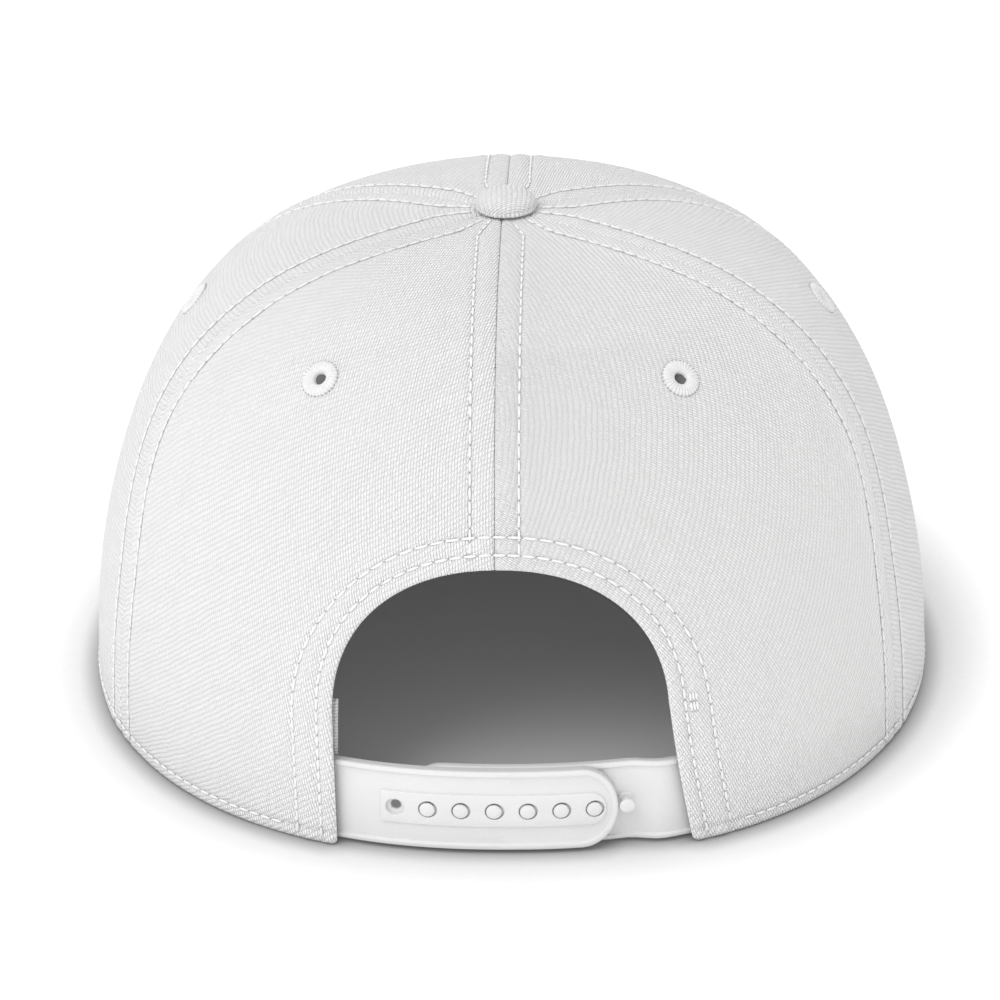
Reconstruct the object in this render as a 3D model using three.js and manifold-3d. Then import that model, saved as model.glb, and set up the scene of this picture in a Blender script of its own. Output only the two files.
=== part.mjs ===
// A white snapback cap with a flat visor, lying on its rim as it would by itself.
// Millimetres. +Z is up, +Y is the back with the snap strap, -Y is the front with
// the visor. Angles go round the crown from the back seam, positive towards +X.

import * as THREE from "three";
import { mergeVertices } from "three/addons/utils/BufferGeometryUtils.js";
import Module from "manifold-3d";

const wasm = await Module();
wasm.setup();

// Driving dimensions of the crown
const crownWidth = 190; // across the rim, outside
const crownBack = 90.7; // from the middle of the rim to its back
const crownFront = 93.5; // from the middle of the rim to its front
const crownHeight = 106.2; // from the rim to the top, under the button
const clothWall = 1.6; // cloth of the panels, with its stiffening
const fitGap = 0.3; // between sewn pieces that touch
const seatGap = 0.4; // between two curved walls that lie on each other

// Driving dimensions of the strap opening
const archWidth = 68.8;
const archStraight = 30; // height of the upright sides
const archHeight = 63.6;
const archRound = 2.2; // 2 is a half ellipse, more is squarer
const archFlare = 5.4; // how much wider the edge on the -X side stands at the rim
const flareHeight = 34; // where that flare begins
const flareBend = 1.2; // 1 is a straight flare, more bends outward near the rim

// Driving dimensions of the small sewn and set pieces
const buttonDiameter = 13.6;
const buttonHeight = 4.2;
const buttonEdge = 1.4; // height of its upright edge
const stemDiameter = 5;
const clinchDiameter = 10; // the disc that holds the button from inside
const clinchThickness = 0.8;
const eyeletDiameter = 7.8;
const eyeletHeight = 0.9; // above the cloth
const eyeletNeck = 4.6; // the stitched sleeve through the cloth
const eyeletBore = 1.8;

// Driving dimensions of the sweatband
const bandHeight = 32;
const bandThickness = 1.2;
const bandLift = 0.6; // its lower edge above the rim
const bandEndLeft = 35.3; // from the middle plane to its end on the +X side
const bandEndRight = 38.9; // the same on the -X side

// Driving dimensions of the visor
const visorLength = 70; // from the crown's front to its own front edge
const visorWidth = 186;
const visorThickness = 3.2;
const visorShoulder = 58; // from the middle of the rim forward to its widest place
const visorRound = 2.4; // 2 is a half ellipse, more is squarer
const visorEnd = 104; // angle where it ends under the crown, in degrees

// Driving dimensions of the snap strap
const strapHeight = 19;
const strapLift = 0.8; // its lower edge above the rim
const strapThickness = 1.8; // the half with the holes
const studStrapThickness = 1.4; // the half with the studs
const strapTab = 15; // length sewn in behind the shell, at each end
const tipLength = 7.8; // of the rounded ends
const tipBeyondSnap = 5; // from the last hole or stud to the tip
const snapCount = 7;
const snapPitch = 7;
const firstHole = 22.4; // from the back seam, along the rim
const looseHoles = 1; // holes left empty, past the studs
const holeDiameter = 2.3;
const recessDiameter = 3.8;
const recessDepth = 1;
const headDiameter = 3.2;
const headThickness = 0.5;

// The rim's plan is a rounded oval, and each profile climbs to the top as
// out = cos(climb) ^ lean and up = sin(climb) ^ rise. A plan of 2 is an ellipse.
const shape = {
  back: { plan: 2.2, lean: 0.511, rise: 0.863 },
  side: { lean: 0.586, rise: 1.12 },
  front: { plan: 1.9, lean: 0.64, rise: 0.944 },
};

// Where the two seams on each side run: degrees round the crown, at even steps of
// the climb from the rim to the top
const seamRows = [
  { share: 0.0, rearSeam: 62.3, frontSeam: 118 },
  { share: 0.25, rearSeam: 63, frontSeam: 117 },
  { share: 0.5, rearSeam: 68, frontSeam: 115 },
  { share: 0.75, rearSeam: 63.5, frontSeam: 114 },
  { share: 1.0, rearSeam: 57, frontSeam: 116 },
];

const panelRows = 13;
const panelColumns = 10;
const roundSides = 14;
const quarterTurn = Math.PI / 2;
const toRadians = THREE.MathUtils.degToRad;
const mix = THREE.MathUtils.lerp;

const signedPower = (value, power) => Math.sign(value) * Math.abs(value) ** power;

// Evenly spread values, both ends included
function spread(from, to, count) {
  return Array.from({ length: count + 1 }, (unused, step) => mix(from, to, step / count));
}

// A point on the crown's outside
function crownPoint(angle, climb) {
  const sine = Math.sin(angle);
  const cosine = Math.cos(angle);
  const plan = mix(shape.front.plan, shape.back.plan, (1 + cosine) / 2);
  const toBack = Math.max(cosine, 0) ** 2;
  const toFront = Math.max(-cosine, 0) ** 2;
  const toSide = 1 - toBack - toFront;
  const blend = (key) => toBack * shape.back[key] + toFront * shape.front[key] + toSide * shape.side[key];
  const out = Math.max(Math.cos(climb), 0) ** blend("lean");
  const up = Math.max(Math.sin(climb), 0) ** blend("rise");
  const depth = cosine > 0 ? crownBack : crownFront;
  return new THREE.Vector3(
    (crownWidth / 2) * signedPower(sine, 2 / plan) * out,
    depth * signedPower(cosine, 2 / plan) * out,
    crownHeight * up,
  );
}

// The outward direction there
function crownNormal(angle, climb) {
  const step = 1e-3;
  const low = Math.max(climb - step, 0);
  const high = Math.min(climb + step, quarterTurn);
  const along = crownPoint(angle + step, climb).sub(crownPoint(angle - step, climb));
  const upward = crownPoint(angle, high).sub(crownPoint(angle, low));
  return upward.cross(along).normalize();
}

// A point at a depth inside the crown's outside
function insidePoint(angle, climb, depth) {
  return crownPoint(angle, climb).addScaledVector(crownNormal(angle, climb), -depth);
}

// The value within a quarter turn up to which a test holds
function bisect(holds) {
  let low = 0;
  let high = quarterTurn;
  for (let halving = 0; halving < 30; halving += 1) {
    const middle = (low + high) / 2;
    if (holds(middle)) low = middle;
    else high = middle;
  }
  return (low + high) / 2;
}

// The climb at which the crown's outside is at a height
function climbAtHeight(angle, height) {
  return bisect((climb) => crownPoint(angle, climb).z < height);
}

// The climb at which the crown's outside is at a distance from its axis
function climbAtRadius(angle, radius) {
  return bisect((climb) => {
    const point = crownPoint(angle, climb);
    return Math.hypot(point.x, point.y) > radius;
  });
}

// The angle at a distance from the back seam, measured along the rim
function angleAlongRim(distance) {
  const step = toRadians(0.1);
  let angle = 0;
  let travelled = 0;
  let last = crownPoint(0, 0);
  while (travelled < Math.abs(distance)) {
    angle += step;
    const next = crownPoint(angle, 0);
    travelled += next.distanceTo(last);
    last = next;
  }
  return Math.sign(distance) * angle;
}

// The angle at which the rim is a distance from the middle plane, at the back
function angleAtSide(side) {
  return bisect((angle) => crownPoint(angle, 0).x < side);
}

// The angle of a seam at a climb, on a smooth curve through its rows
function seamAngle(name, climb) {
  if (name === "backSeam") return 0;
  if (name === "frontMiddle") return Math.PI;
  const line = new THREE.SplineCurve(seamRows.map((row) => new THREE.Vector2(row.share, row[name])));
  return toRadians(line.getPoint(climb / quarterTurn).y);
}

// A closed solid from rows of points: one sheet outside, one inside, and the edges
function sheetSolid(outer, inner, closedRound = false) {
  const rows = outer.length;
  const columns = outer[0].length;
  const positions = [...outer, ...inner].flat().flatMap((point) => point.toArray());
  const triangles = [];
  const at = (side, row, column) => (side * rows + row) * columns + (column % columns);
  const quad = (a, b, c, d) => triangles.push(a, b, c, a, c, d);
  const lastColumn = closedRound ? columns : columns - 1;
  for (let row = 0; row < rows - 1; row += 1) {
    for (let column = 0; column < lastColumn; column += 1) {
      quad(at(0, row, column), at(0, row, column + 1), at(0, row + 1, column + 1), at(0, row + 1, column));
      quad(at(1, row, column), at(1, row + 1, column), at(1, row + 1, column + 1), at(1, row, column + 1));
    }
  }
  for (let column = 0; column < lastColumn; column += 1) {
    quad(at(1, 0, column), at(1, 0, column + 1), at(0, 0, column + 1), at(0, 0, column));
    const top = rows - 1;
    quad(at(0, top, column), at(0, top, column + 1), at(1, top, column + 1), at(1, top, column));
  }
  for (let row = 0; row < rows - 1 && !closedRound; row += 1) {
    const end = columns - 1;
    quad(at(0, row, 0), at(0, row + 1, 0), at(1, row + 1, 0), at(1, row, 0));
    quad(at(1, row, end), at(1, row + 1, end), at(0, row + 1, end), at(0, row, end));
  }
  const geometry = new THREE.BufferGeometry();
  geometry.setAttribute("position", new THREE.Float32BufferAttribute(positions, 3));
  geometry.setIndex(triangles);
  return geometry;
}

// Booleans
function toManifold(geometry) {
  const bare = geometry.clone();
  bare.deleteAttribute("normal");
  bare.deleteAttribute("uv");
  const merged = mergeVertices(bare, 1e-4);
  return new wasm.Manifold(new wasm.Mesh({
    numProp: 3,
    vertProperties: new Float32Array(merged.attributes.position.array),
    triVerts: new Uint32Array(merged.index.array),
  }));
}

function fromManifold(solid) {
  const mesh = solid.getMesh();
  const geometry = new THREE.BufferGeometry();
  geometry.setAttribute("position", new THREE.BufferAttribute(new Float32Array(mesh.vertProperties), 3));
  geometry.setIndex(Array.from(mesh.triVerts));
  return geometry;
}

function cutAway(geometry, cutters) {
  const solid = cutters.reduce((body, cutter) => body.subtract(toManifold(cutter)), toManifold(geometry));
  return fromManifold(solid);
}

// A flat outline given as x and z, pushed through along Y
function throughY(outline, from, to) {
  const settings = { depth: to - from, bevelEnabled: false };
  const geometry = new THREE.ExtrudeGeometry(new THREE.Shape(outline), settings);
  return geometry.rotateX(quarterTurn).translate(0, to, 0);
}

// A flat outline given as x and y, raised along Z
function throughZ(outline, from, to) {
  const settings = { depth: to - from, bevelEnabled: false };
  const geometry = new THREE.ExtrudeGeometry(new THREE.Shape(outline), settings);
  return geometry.translate(0, 0, from);
}

// A turned piece from pairs of radius and height, going up on its outside
function turned(pairs) {
  const profile = pairs.map(([radius, height]) => new THREE.Vector2(radius, height));
  return new THREE.LatheGeometry(profile, roundSides);
}

// A round bar from one height to another on the lathe's axis
const turnedBar = (diameter, low, high) => turned([
  [0, low],
  [diameter / 2, low],
  [diameter / 2, high],
  [0, high],
]);

// Where a piece stands on the crown's outside, with its axis outward
function seatOn(angle, climb, depth = 0) {
  const outward = crownNormal(angle, climb);
  const turn = new THREE.Quaternion().setFromUnitVectors(new THREE.Vector3(0, 1, 0), outward);
  return new THREE.Matrix4().compose(insidePoint(angle, climb, depth), turn, new THREE.Vector3(1, 1, 1));
}

// Materials
const cloth = (name) => new THREE.MeshStandardMaterial({ name, color: 0xeeeeee, roughness: 0.95, metalness: 0 });
const plastic = (name) => new THREE.MeshStandardMaterial({ name, color: 0xe8e8ea, roughness: 0.5, metalness: 0 });

const crown = new THREE.Group();

function addPiece(name, geometry, material) {
  const mesh = new THREE.Mesh(geometry, material);
  mesh.name = name;
  crown.add(mesh);
  return mesh;
}

// The opening's arch, as x and z. Its edge on the -X side flares out to the rim.
function archOutline() {
  const half = archWidth / 2;
  const low = -archStraight;
  const points = [];
  const addPoint = (side, height) => {
    const share = Math.min(1, Math.max(0, 1 - height / flareHeight));
    const flare = side < 0 ? archFlare * share ** flareBend : 0;
    points.push(new THREE.Vector2(side - flare, height));
  };
  addPoint(half, low);
  const steps = 22;
  for (let step = 0; step <= steps; step += 1) {
    const turn = (Math.PI * step) / steps;
    const side = half * signedPower(Math.cos(turn), 2 / archRound);
    addPoint(side, archStraight + (archHeight - archStraight) * Math.sin(turn) ** (2 / archRound));
  }
  const sideSteps = 5;
  for (let step = 1; step <= sideSteps; step += 1) {
    addPoint(-half, archStraight * (1 - step / sideSteps));
  }
  addPoint(-half, low);
  return points;
}

// The visor's outline, as x and y, or that of the notch that it takes in the crown
function visorOutline(innerDepth, margin) {
  const endAngle = toRadians(visorEnd) - margin / (crownWidth / 2);
  const half = visorWidth / 2;
  const reach = crownFront + visorLength - visorShoulder;
  const points = [];
  const innerSteps = 28;
  for (let step = 0; step <= innerSteps; step += 1) {
    const angle = mix(2 * Math.PI - endAngle, endAngle, step / innerSteps);
    const point = insidePoint(angle, 0, innerDepth);
    points.push(new THREE.Vector2(point.x, point.y));
  }
  const root = insidePoint(endAngle, 0, -margin);
  points.push(new THREE.Vector2(root.x, root.y));
  const outerSteps = 32;
  for (let step = 0; step <= outerSteps; step += 1) {
    const turn = (Math.PI * step) / outerSteps;
    const side = half * signedPower(Math.cos(turn), 2 / visorRound);
    const out = reach * Math.sin(turn) ** (2 / visorRound);
    points.push(new THREE.Vector2(side, -visorShoulder - out));
  }
  points.push(new THREE.Vector2(-root.x, root.y));
  return points.reverse();
}

// Panels
const ringRadius = stemDiameter / 2 + fitGap;

// The turn round the crown that a short length takes at a place
function turnFor(length, angle, climb) {
  const step = 0.01;
  const stretch = crownPoint(angle - step / 2, climb).distanceTo(crownPoint(angle + step / 2, climb));
  return (length / stretch) * step;
}

function panelSheet(startSeam, endSeam, side, depth) {
  const rows = [];
  for (let row = 0; row <= panelRows; row += 1) {
    const rising = 1 - (1 - row / panelRows) ** 1.25;
    const start = seamAngle(startSeam, rising * quarterTurn);
    const end = seamAngle(endSeam, rising * quarterTurn);
    const startClimb = rising * climbAtRadius(start, ringRadius);
    const endClimb = rising * climbAtRadius(end, ringRadius);
    const first = start + turnFor(fitGap / 2, start, startClimb);
    const last = end - turnFor(fitGap / 2, end, endClimb);
    const points = spread(first, last, panelColumns).map((angle) => {
      const climb = rising * climbAtRadius(angle, ringRadius);
      return insidePoint(side * angle, climb, depth);
    });
    rows.push(side > 0 ? points.reverse() : points);
  }
  return rows;
}

// The eyelets' places are shares: across from seam to seam, and of the quarter turn
// from the rim to the top
const panels = [
  { name: "panel_back", from: "backSeam", to: "rearSeam", eyeletAcross: 0.475, eyeletClimb: 0.66 },
  { name: "panel_side", from: "rearSeam", to: "frontSeam", eyeletAcross: 0.5, eyeletClimb: 0.61 },
  { name: "panel_front", from: "frontSeam", to: "frontMiddle", eyeletAcross: 0.5, eyeletClimb: 0.655 },
];
const archCutter = throughY(archOutline(), 0, 2 * crownBack);
const notchOutline = visorOutline(clothWall + bandThickness, fitGap);
const visorCutter = throughZ(notchOutline, -visorThickness, visorThickness + fitGap);

for (const { name, from, to, eyeletAcross, eyeletClimb } of panels) {
  for (const [sideName, side] of [["left", 1], ["right", -1]]) {
    const sheet = sheetSolid(panelSheet(from, to, side, 0), panelSheet(from, to, side, clothWall));
    const climb = eyeletClimb * quarterTurn;
    const angle = side * mix(seamAngle(from, climb), seamAngle(to, climb), eyeletAcross);
    const seat = seatOn(angle, climb);
    const hole = turnedBar(eyeletNeck + 2 * fitGap, -2 * clothWall, clothWall).applyMatrix4(seat);
    const cutters = [hole];
    if (name === "panel_back") cutters.push(archCutter);
    else cutters.push(visorCutter);
    addPiece(`${name}_${sideName}`, cutAway(sheet, cutters), cloth("twill"));

    const ring = turned([
      [eyeletBore / 2, -clothWall],
      [eyeletNeck / 2, -clothWall],
      [eyeletNeck / 2, fitGap],
      [eyeletDiameter / 2, fitGap],
      [eyeletDiameter / 2, fitGap + eyeletHeight / 3],
      [(eyeletDiameter + eyeletNeck) / 4, eyeletHeight],
      [eyeletNeck / 2, eyeletHeight],
      [eyeletBore / 2, eyeletHeight / 2],
      [eyeletBore / 2, -clothWall],
    ]);
    const mesh = addPiece(name.replace("panel", "eyelet") + `_${sideName}`, ring, cloth("thread"));
    mesh.applyMatrix4(seat);
  }
}

// Button
const clinchTop = -clothWall - fitGap;
const domeBase = fitGap + buttonEdge;
const domePairs = [0, 0.2, 0.4, 0.6, 0.8, 1].map((share) => [
  (buttonDiameter / 2) * Math.cos(share * quarterTurn),
  domeBase + (buttonHeight - buttonEdge) * Math.sin(share * quarterTurn),
]);
const button = turned([
  [0, clinchTop - clinchThickness],
  [clinchDiameter / 2, clinchTop - clinchThickness],
  [clinchDiameter / 2, clinchTop],
  [stemDiameter / 2, clinchTop],
  [stemDiameter / 2, fitGap],
  [buttonDiameter / 2, fitGap],
  ...domePairs.slice(0, -1),
  [0, fitGap + buttonHeight],
]);
const buttonMesh = addPiece("button", button, cloth("twill"));
buttonMesh.rotation.x = quarterTurn;
buttonMesh.position.z = crownHeight;

// Visor
addPiece("visor", throughZ(visorOutline(clothWall, 0), 0, visorThickness), cloth("twill"));

// The strap's layers lie one behind the other, inside the shell
const strapSeat = clothWall + seatGap;
const overlapSeat = strapSeat + strapThickness + fitGap;
const bandSeat = strapSeat + strapThickness + seatGap;
const archSide = angleAtSide(archWidth / 2);
const rimAngle = (distance) => angleAlongRim(distance);

// Length along the rim at which an angle lies, near the back
function rimDistance(angle) {
  const steps = 60;
  let travelled = 0;
  for (let step = 0; step < steps; step += 1) {
    const near = crownPoint((angle * step) / steps, 0);
    travelled += near.distanceTo(crownPoint((angle * (step + 1)) / steps, 0));
  }
  return travelled;
}

// A curved sheet that follows the crown's inside between two heights
function wallSheet({ angles, depthAt, thickness, low, high, rows }) {
  const face = (extra) => {
    const grid = [];
    for (let row = 0; row <= rows; row += 1) {
      const height = mix(low, high, row / rows);
      grid.push(angles.map((angle) => {
        const climb = climbAtHeight(angle, height);
        return insidePoint(angle, climb, depthAt(angle) + extra);
      }));
    }
    return grid;
  };
  return sheetSolid(face(0), face(thickness));
}

// Sweatband
const tabDistance = rimDistance(archSide) + strapTab;
const tabEnd = rimAngle(tabDistance);
const tuck = (angle) => {
  const fromBack = Math.min(angle, 2 * Math.PI - angle);
  return THREE.MathUtils.smoothstep(fromBack, tabEnd * 1.08, tabEnd * 1.4);
};
addPiece("sweatband", wallSheet({
  angles: spread(2 * Math.PI - angleAtSide(bandEndRight), angleAtSide(bandEndLeft), 64),
  depthAt: (angle) => mix(bandSeat, strapSeat, tuck(angle)),
  thickness: bandThickness,
  low: bandLift,
  high: bandLift + bandHeight,
  rows: 3,
}), cloth("sweatband"));

// Snap strap
const strapMiddle = strapLift + strapHeight / 2;
const snapAt = (index) => firstHole - index * snapPitch;
const holesTip = snapAt(snapCount - 1) - tipBeyondSnap;
const studsTip = snapAt(looseHoles) + tipBeyondSnap;

// The rounded end, as x and z; the straight part runs off past the sewn end
function tipOutline(tipDistance, toward) {
  const tip = crownPoint(rimAngle(tipDistance), 0).x;
  const centre = tip + toward * tipLength;
  const far = toward * crownWidth;
  const over = strapHeight;
  const points = [new THREE.Vector2(far, strapMiddle - over), new THREE.Vector2(centre, strapMiddle - over)];
  const steps = 12;
  for (let step = 0; step <= steps; step += 1) {
    const turn = (Math.PI * step) / steps;
    const out = centre - toward * tipLength * Math.sin(turn);
    points.push(new THREE.Vector2(out, strapMiddle - (strapHeight / 2) * Math.cos(turn)));
  }
  points.push(new THREE.Vector2(centre, strapMiddle + over), new THREE.Vector2(far, strapMiddle + over));
  return points;
}

function snapSeat(distance, depth) {
  const angle = rimAngle(distance);
  return seatOn(angle, climbAtHeight(angle, strapMiddle), depth);
}

function strapHalf(tipDistance, toward, depthAt, thickness) {
  const tipAngle = rimAngle(tipDistance - toward * fitGap);
  const sheet = wallSheet({
    angles: toward > 0 ? spread(tabEnd, tipAngle, 30) : spread(tipAngle, -tabEnd, 30),
    depthAt,
    thickness,
    low: strapLift,
    high: strapLift + strapHeight,
    rows: 2,
  });
  const rounded = throughY(tipOutline(tipDistance, toward), crownBack / 4, 2 * crownBack);
  return toManifold(sheet).intersect(toManifold(rounded));
}

let holesHalf = strapHalf(holesTip, 1, () => strapSeat, strapThickness);
for (let index = 0; index < snapCount; index += 1) {
  const seat = snapSeat(snapAt(index), strapSeat);
  const bore = turnedBar(holeDiameter, -2 * strapThickness, strapThickness).applyMatrix4(seat);
  const recess = turnedBar(recessDiameter, -recessDepth, strapThickness).applyMatrix4(seat);
  holesHalf = holesHalf.subtract(toManifold(bore)).subtract(toManifold(recess));
}
addPiece("strap_with_holes", fromManifold(holesHalf), plastic("strap"));

const studDepth = (angle) => {
  const start = -rimAngle(snapAt(snapCount));
  return mix(overlapSeat, strapSeat, THREE.MathUtils.smoothstep(-angle, start, archSide));
};
const web = strapThickness - recessDepth;
const neckDiameter = holeDiameter - 2 * fitGap;
const headBase = fitGap + web + fitGap;
let studsHalf = strapHalf(studsTip, -1, studDepth, studStrapThickness);
for (let index = looseHoles; index < looseHoles + snapCount; index += 1) {
  const depth = studDepth(rimAngle(snapAt(index)));
  const seat = snapSeat(snapAt(index), depth);
  const stud = turned([
    [0, -studStrapThickness / 2],
    [neckDiameter / 2, -studStrapThickness / 2],
    [neckDiameter / 2, headBase],
    [headDiameter / 2, headBase],
    [headDiameter / 2, headBase + headThickness],
    [0, headBase + headThickness],
  ]).applyMatrix4(seat);
  studsHalf = studsHalf.add(toManifold(stud));
}
addPiece("strap_with_studs", fromManifold(studsHalf), plastic("strap"));

// The cap stands with the middle of its bottom at the origin
const cap = new THREE.Group();
cap.add(crown);
const extent = new THREE.Box3().setFromObject(cap);
crown.position.y = -(extent.min.y + extent.max.y) / 2;

export default cap;
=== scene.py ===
# %% [markdown]
# # A white snapback cap, seen from the back
#
# The cap is sewn from six cloth panels that meet under a button, with an arch cut
# out at the back for a strap of two plastic halves that snap together. This lesson
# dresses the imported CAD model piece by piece: cloth, stitches, eyelets, button,
# strap, sweatband and visor. It starts by loading that model as a fixed frame, so
# that every piece is made in metres, just where the CAD has it.

import math

import bmesh
import bpy
import numpy as np
from mathutils import Matrix, Quaternion, Vector, noise


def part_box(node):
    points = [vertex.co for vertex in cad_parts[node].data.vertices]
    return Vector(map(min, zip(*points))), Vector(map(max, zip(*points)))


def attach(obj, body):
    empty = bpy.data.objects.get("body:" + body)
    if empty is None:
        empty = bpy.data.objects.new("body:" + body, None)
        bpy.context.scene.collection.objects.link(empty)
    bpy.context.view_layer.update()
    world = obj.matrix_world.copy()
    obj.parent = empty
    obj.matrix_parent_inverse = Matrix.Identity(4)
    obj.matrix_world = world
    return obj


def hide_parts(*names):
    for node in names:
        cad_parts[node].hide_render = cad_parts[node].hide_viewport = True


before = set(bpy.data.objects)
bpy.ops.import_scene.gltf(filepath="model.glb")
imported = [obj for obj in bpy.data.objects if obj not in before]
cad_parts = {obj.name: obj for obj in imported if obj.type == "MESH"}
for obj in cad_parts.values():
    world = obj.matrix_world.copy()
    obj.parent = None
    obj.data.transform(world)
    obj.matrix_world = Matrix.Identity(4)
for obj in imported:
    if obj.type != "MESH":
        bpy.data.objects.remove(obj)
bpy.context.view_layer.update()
MM = 0.001
print("the CAD model has", len(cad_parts), "nodes")

# %% [markdown]
# The crown isn't a ball: its rim is a rounded oval, flatter at the back, and each
# profile climbs steeply before it rolls over to the top. The CAD model gives the
# crown as facets, too coarse for a smooth cloth, so the same rule is written here
# once more with the same shares, and takes its sizes from the nodes' own boxes.
# Angles go round the crown from the back seam, positive towards +X, and the climb
# goes from nothing at the rim to a quarter turn at the top.

# %% Sizes of the crown
AXIS_Y = sum(corner.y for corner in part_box("button")) / 2
HALF_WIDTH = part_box("panel_side_left")[1].x
CROWN_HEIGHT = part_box("panel_side_left")[1].z
CROWN_BACK = 90.7 * MM
CROWN_FRONT = 93.5 * MM
CLOTH = 1.6 * MM
QUARTER = math.pi / 2
SHAPE = {
    "back": {"plan": 2.2, "lean": 0.511, "rise": 0.863},
    "side": {"lean": 0.586, "rise": 1.12},
    "front": {"plan": 1.9, "lean": 0.64, "rise": 0.944},
}
SEAM_ROWS = {
    "rear_seam": (62.3, 63, 68, 63.5, 57),
    "front_seam": (118, 117, 115, 114, 116),
    "front_middle": (180, 180, 180, 180, 180),
    "back_seam": (0, 0, 0, 0, 0),
}
print("crown axis at y", round(AXIS_Y, 5), "half width", round(HALF_WIDTH, 5), "height", round(CROWN_HEIGHT, 5))


# %% Points on the crown
def lengths_along(points):
    """The length of a line so far, at each of its points."""
    return np.concatenate([[0], np.cumsum(np.linalg.norm(np.diff(points, axis=0), axis=1))])


def signed_power(value, power):
    return np.sign(value) * np.abs(value) ** power


def smooth(value, low, high):
    share = np.clip((value - low) / (high - low), 0, 1)
    return share * share * (3 - 2 * share)


def crown_point(angle, climb):
    """Points on the crown's outside, one for each angle and climb."""
    angle, climb = np.broadcast_arrays(np.asarray(angle, float), np.asarray(climb, float))
    sine, cosine = np.sin(angle), np.cos(angle)
    plan = SHAPE["front"]["plan"] + (SHAPE["back"]["plan"] - SHAPE["front"]["plan"]) * (1 + cosine) / 2
    to_back, to_front = np.maximum(cosine, 0) ** 2, np.maximum(-cosine, 0) ** 2
    to_side = 1 - to_back - to_front
    lean, rise = (
        to_back * SHAPE["back"][key] + to_front * SHAPE["front"][key] + to_side * SHAPE["side"][key]
        for key in ("lean", "rise")
    )
    out = np.maximum(np.cos(climb), 0) ** lean
    up = np.maximum(np.sin(climb), 0) ** rise
    depth = np.where(cosine > 0, CROWN_BACK, CROWN_FRONT)
    across = HALF_WIDTH * signed_power(sine, 2 / plan) * out
    return np.stack([across, AXIS_Y + depth * signed_power(cosine, 2 / plan) * out, CROWN_HEIGHT * up], -1)


def crown_normal(angle, climb):
    step = 1e-3
    low, high = np.maximum(climb - step, 0), np.minimum(climb + step, QUARTER)
    along = crown_point(angle + step, climb) - crown_point(angle - step, climb)
    upward = crown_point(angle, high) - crown_point(angle, low)
    normal = np.cross(upward, along)
    return normal / np.linalg.norm(normal, axis=-1, keepdims=True)


def halving(holds, low, high):
    """The value between low and high up to which a test holds, for whole arrays."""
    for _ in range(40):
        middle = (low + high) / 2
        inside = holds(middle)
        low, high = np.where(inside, middle, low), np.where(inside, high, middle)
    return (low + high) / 2


def climb_at_height(angle, height):
    angle = np.asarray(angle, float)
    none = np.zeros(np.broadcast(angle, height).shape)
    return halving(lambda climb: crown_point(angle, climb)[..., 2] < height, none, none + QUARTER)


def climb_at_radius(angle, radius):
    angle = np.asarray(angle, float)
    none = np.zeros(np.broadcast(angle, radius).shape)

    def outside(climb):
        point = crown_point(angle, climb)
        return np.hypot(point[..., 0], point[..., 1] - AXIS_Y) > radius

    return halving(outside, none, none + QUARTER)


def angle_at_side(side, climb):
    """The angle, at the back, where the crown at a climb is that far from the middle plane."""
    none = np.zeros(np.broadcast(side, climb).shape)
    return halving(lambda angle: crown_point(angle, climb)[..., 0] < side, none - QUARTER, none + QUARTER)


def seam_angle(name, climb):
    """The angle of a seam at a climb, on a smooth curve through its rows."""
    rows = np.radians(np.array(SEAM_ROWS[name], float))
    share = np.clip(np.asarray(climb, float) / QUARTER, 0, 1) * (len(rows) - 1)
    start = np.minimum(share.astype(int), len(rows) - 2)
    t = share - start
    p0, p1, p2, p3 = (rows[np.clip(start + step, 0, len(rows) - 1)] for step in (-1, 0, 1, 2))
    v0, v1 = (p2 - p0) / 2, (p3 - p1) / 2
    return (2 * p1 - 2 * p2 + v0 + v1) * t**3 + (3 * p2 - 3 * p1 - 2 * v0 - v1) * t**2 + v0 * t + p1


print("rear seam at the rim", np.round(crown_point(seam_angle("rear_seam", 0), 0) / MM, 1), "mm")

# %% [markdown]
# The camera stands where the photograph was taken from: behind the cap, a little
# above it, with a long lens from more than half a metre. Place and lens come from
# matching the cap's outline in the picture. The floor is a pale sheet that fades
# into an even white room, and one large soft lamp stands up at the left, so that
# the shadows fall softly to the right, as they do in a product photograph. The
# floor also glows a little, as an overexposed sheet of paper does. Where the cap is
# near, its glow and its colour are painted darker: a painted contact shadow, and
# painted shade on the floor inside the cap, so both stay dark.

# %% Camera
camera_data = bpy.data.cameras.new("camera")
camera_data.lens = 105.5
camera_data.sensor_width = 36
camera_data.clip_start, camera_data.clip_end = 0.05, 50
camera = bpy.data.objects.new("camera", camera_data)
camera.location = (-0.0174, AXIS_Y + 0.5852, 0.3503)
LOOK = Vector((0.0295, -0.8800, -0.4741))
ROLL = math.radians(-0.892)
camera.rotation_mode = "QUATERNION"
camera.rotation_quaternion = LOOK.to_track_quat("-Z", "Y") @ Quaternion((0, 0, 1), ROLL)
bpy.context.scene.collection.objects.link(camera)
bpy.context.scene.camera = camera
print("camera", round((camera.location - Vector((0, AXIS_Y, 0.05))).length, 3), "m from the cap")

# %% Light
scene = bpy.context.scene
scene.view_settings.view_transform = "Standard"
world = bpy.data.worlds.new("room")
world.use_nodes = True
ROOM_LIGHT = 0.88
world.node_tree.nodes["Background"].inputs["Color"].default_value = (1, 1, 1, 1)
world.node_tree.nodes["Background"].inputs["Strength"].default_value = ROOM_LIGHT
scene.world = world


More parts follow.
